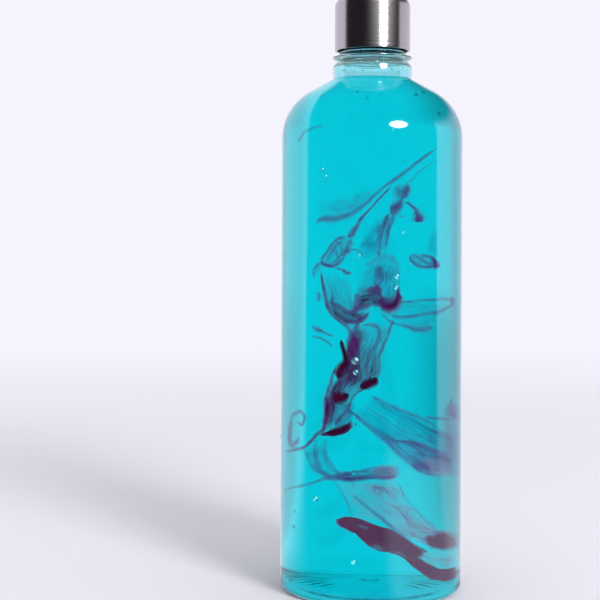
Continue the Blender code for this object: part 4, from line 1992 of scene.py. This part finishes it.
BOTTOM_BAND = Plume(
    "ink_bottom_band",
    Tone.DUSKY,
    (
        Veil(
            spots(
                0.02, (336, 520), (345, 516.5), (356.7, 518.5), (367, 521), (378, 524.5), (388.6, 528),
                (397.6, 533), (406, 539), (415, 546), (424, 552),
            ),
            spots(
                0.02, (338, 524.5), (346.5, 529.5), (354, 533), (361.8, 540), (369.5, 547.5),
                (378.4, 552), (388, 552), (398.8, 555.5), (408, 562), (418, 571),
            ),
            along=(0.95, 1.0, 0.95, 0.9, 1.0, 0.95, 0.95, 0.9, 0.8, 0.7), across=(0.95, 0.9, 1.0),
            bulge=0.01, ripple=0.01, wobble=1.4, soft=0.07, columns=110, rows=30,
        ),
        Veil(
            spots(0.02, (416, 556), (426, 562), (436, 567), (446, 568), (456, 566)),
            spots(0.02, (410, 565), (421, 573), (432, 579.5), (444, 581.5), (456, 577)),
            along=(0.8, 1.0, 1.2, 1.3, 1.2), across=(0.8, 1.0, 1.0), bulge=0.01, ripple=0.01,
            wobble=1.2, soft=0.1, columns=60, rows=24,
        ),
        Veil(
            spots(0.02, (416, 537), (428, 532), (440, 529), (460, 530)),
            spots(0.02, (422, 546), (434, 551.5), (446, 552), (460, 549)),
            along=(0.1, 0.8, 1.3, 0.7), across=(0.3, 1.0, 0.5), bulge=0.01, ripple=0.01, wobble=2.0,
            soft=0.3, columns=48, rows=24,
        ),
        strand(0.02, 0.55, 28, (337, 519, 2.0), (340, 523, 3.0), (348, 528, 2.6), (356, 533, 1.6)),
        strand(0.02, 0.5, 28, (398, 534, 1.6), (406, 541, 2.4), (416, 547, 2.6), (427, 552, 1.6)),
        strand(0.02, 0.5, 28, (406, 558, 1.6), (414, 565, 2.4), (424, 570, 3.0), (434, 572, 2.4)),
    ),
)

# Each plume's place in this row is part of its seed.
PLUMES = (
    CROWN, LEAF, BELL, BELL_RIM, STEM, STEM_CORES, SIDE_LINES, DIAGONALS, FLOOR_LINES, PALE_VEIL,
    BOTTOM_BAND,
)


@dataclass(frozen=True)
class Bubbles:
    """Small round bubbles or drops, each at a pixel that is seen in the photograph.

    What is seen is the pixel from the left and from the top, the share of the way through the
    bottle, and the width in pixels. Drops lie on a round wall instead, whose radius is given.
    """

    name: str
    finish: Bead
    seen: tuple[tuple[float, float, float, float], ...]
    wall_radius: float = 0.0
    fineness: int = 3

    def build(self, view: PhotoView) -> bpy.types.Object:
        """Make the bubbles.

        Args:
            view: the camera that they are seen with.

        Returns:
            The piece, which rides on the bottle.
        """
        shape = bmesh.new()
        for across, down, depth, width in self.seen:
            if self.wall_radius:
                place = view.on_round(across, down, self.wall_radius)
            else:
                place = view.inside((across, down, depth))
            radius = width * view.pixel / 2
            ball = bmesh.ops.create_icosphere(shape, subdivisions=self.fineness, radius=radius)["verts"]
            bmesh.ops.translate(shape, verts=ball, vec=place)
        return placed(finished_mesh(self.name, shape), self.finish.material(), Body.BOTTLE)


BUBBLES = Bubbles(
    "bubbles",
    Bead("bubble_skin", tint=(0.97, 1.0, 1.0), refraction=1.5),
    (
        (398.3, 282, 0.03, 3.4), (379.5, 340, 0.03, 4.0), (289, 332.5, 0.02, 3.0),
        (289, 340, 0.02, 2.6), (418, 97.6, 0.17, 3.6), (427.3, 95, 0.2, 4.2), (439.8, 116, 0.14, 3.6),
        (286, 136.5, 0.06, 3.4), (281.8, 437, 0.01, 5.0), (286.5, 490, 0.02, 4.4),
        (295.2, 511, 0.02, 3.2), (294.4, 526.5, 0.02, 4.0), (354.5, 424.5, 0.02, 4.4),
        (354, 472.3, 0.02, 4.6), (351.8, 530, 0.012, 3.6), (335, 80, 0.42, 3.4), (329, 83, 0.4, 3.6),
        (414.5, 82, 0.38, 4.4), (356.7, 96.5, 0.2, 3.0), (367, 101, 0.16, 3.0), (319, 100, 0.2, 2.8),
        (405, 162, 0.03, 2.4), (288.6, 420, 0.02, 2.4), (284, 503, 0.01, 3.0), (285.6, 208, 0.03, 3.0),
        (285.6, 215, 0.03, 2.4), (284.6, 252, 0.03, 2.6), (285.2, 262, 0.03, 2.2),
        (284.8, 313, 0.03, 2.4), (353, 484, 0.02, 2.0), (357, 260, 0.03, 2.2), (326, 182, 0.03, 2.0),
    ),
)
# These bubbles carry a painted highlight of the soft box.
BRIGHT_BUBBLES = Bubbles(
    "bright_bubbles",
    Bead("bright_bubble_skin", tint=(0.97, 1.0, 1.0), refraction=1.5, painted_glint=0.9),
    (
        (397, 276.5, 0.02, 5.4), (396, 287.4, 0.02, 4.4), (355.5, 360.7, 0.015, 7.6),
        (356, 372.3, 0.015, 5.4), (359.5, 255.3, 0.03, 3.0), (323, 169.6, 0.03, 4.2),
        (326, 176.6, 0.03, 4.0), (316, 498.5, 0.02, 5.6), (353.7, 561.8, 0.02, 4.6),
        (381, 88, 0.3, 5.0), (393, 129.8, 0.08, 3.0), (403, 232.5, 0.03, 3.0),
    ),
)


def drops(bottle: BottleWall) -> Bubbles:
    """Lay out the drops that cling inside the collar, above the liquid.

    Args:
        bottle: the bottle that they cling to.

    Returns:
        The drops.
    """
    marks = (
        (360.5, 62.6, 2.6), (366, 66.6, 2.2), (371.5, 64, 1.8), (376.8, 62.4, 4.6), (380, 67.4, 2.4),
        (385.4, 67, 3.6), (390.4, 62.8, 2.8), (391.5, 69.4, 2.2), (394, 65, 1.8), (363, 69.6, 1.8),
        (350, 66, 2.2), (345, 70, 2.6), (355, 71.5, 1.6), (402, 67, 2.0), (340.5, 65.4, 2.0),
        (398, 72, 1.6),
    )
    seen = tuple((across, down, 0.0, width) for across, down, width in marks)
    # The drops carry a faint painted highlight of the soft box.
    skin = Bead("drop_skin", tint=(0.9, 1.0, 1.0), refraction=1.33, painted_glint=0.3)
    return Bubbles("collar_drops", skin, seen, bottle.collar_radius - bottle.wall)


def main() -> None:
    """Build the bottle, its contents and its cap in order, and set the studio."""
    logging.basicConfig(level=logging.INFO, format="%(name)s: %(message)s")
    view = PhotoView()
    bottle = BottleWall()
    bottle.build()
    Contents(bottle).build()
    finishes = {tone: tone.value.material() for tone in Tone}
    noise.seed_set(INK_SEED)
    for number, plume in enumerate(PLUMES):
        plume.build(view, finishes[plume.tone], number * PLUME_STEP)
    for bubbles in (BUBBLES, BRIGHT_BUBBLES):
        bubbles.build(view)
    drops(bottle).build(view)
    low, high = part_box("cap_shell")
    CapCase(high.x, low.z, high.z).build()
    Studio().build()
    view.camera()


if __name__ == "__main__":
    main()
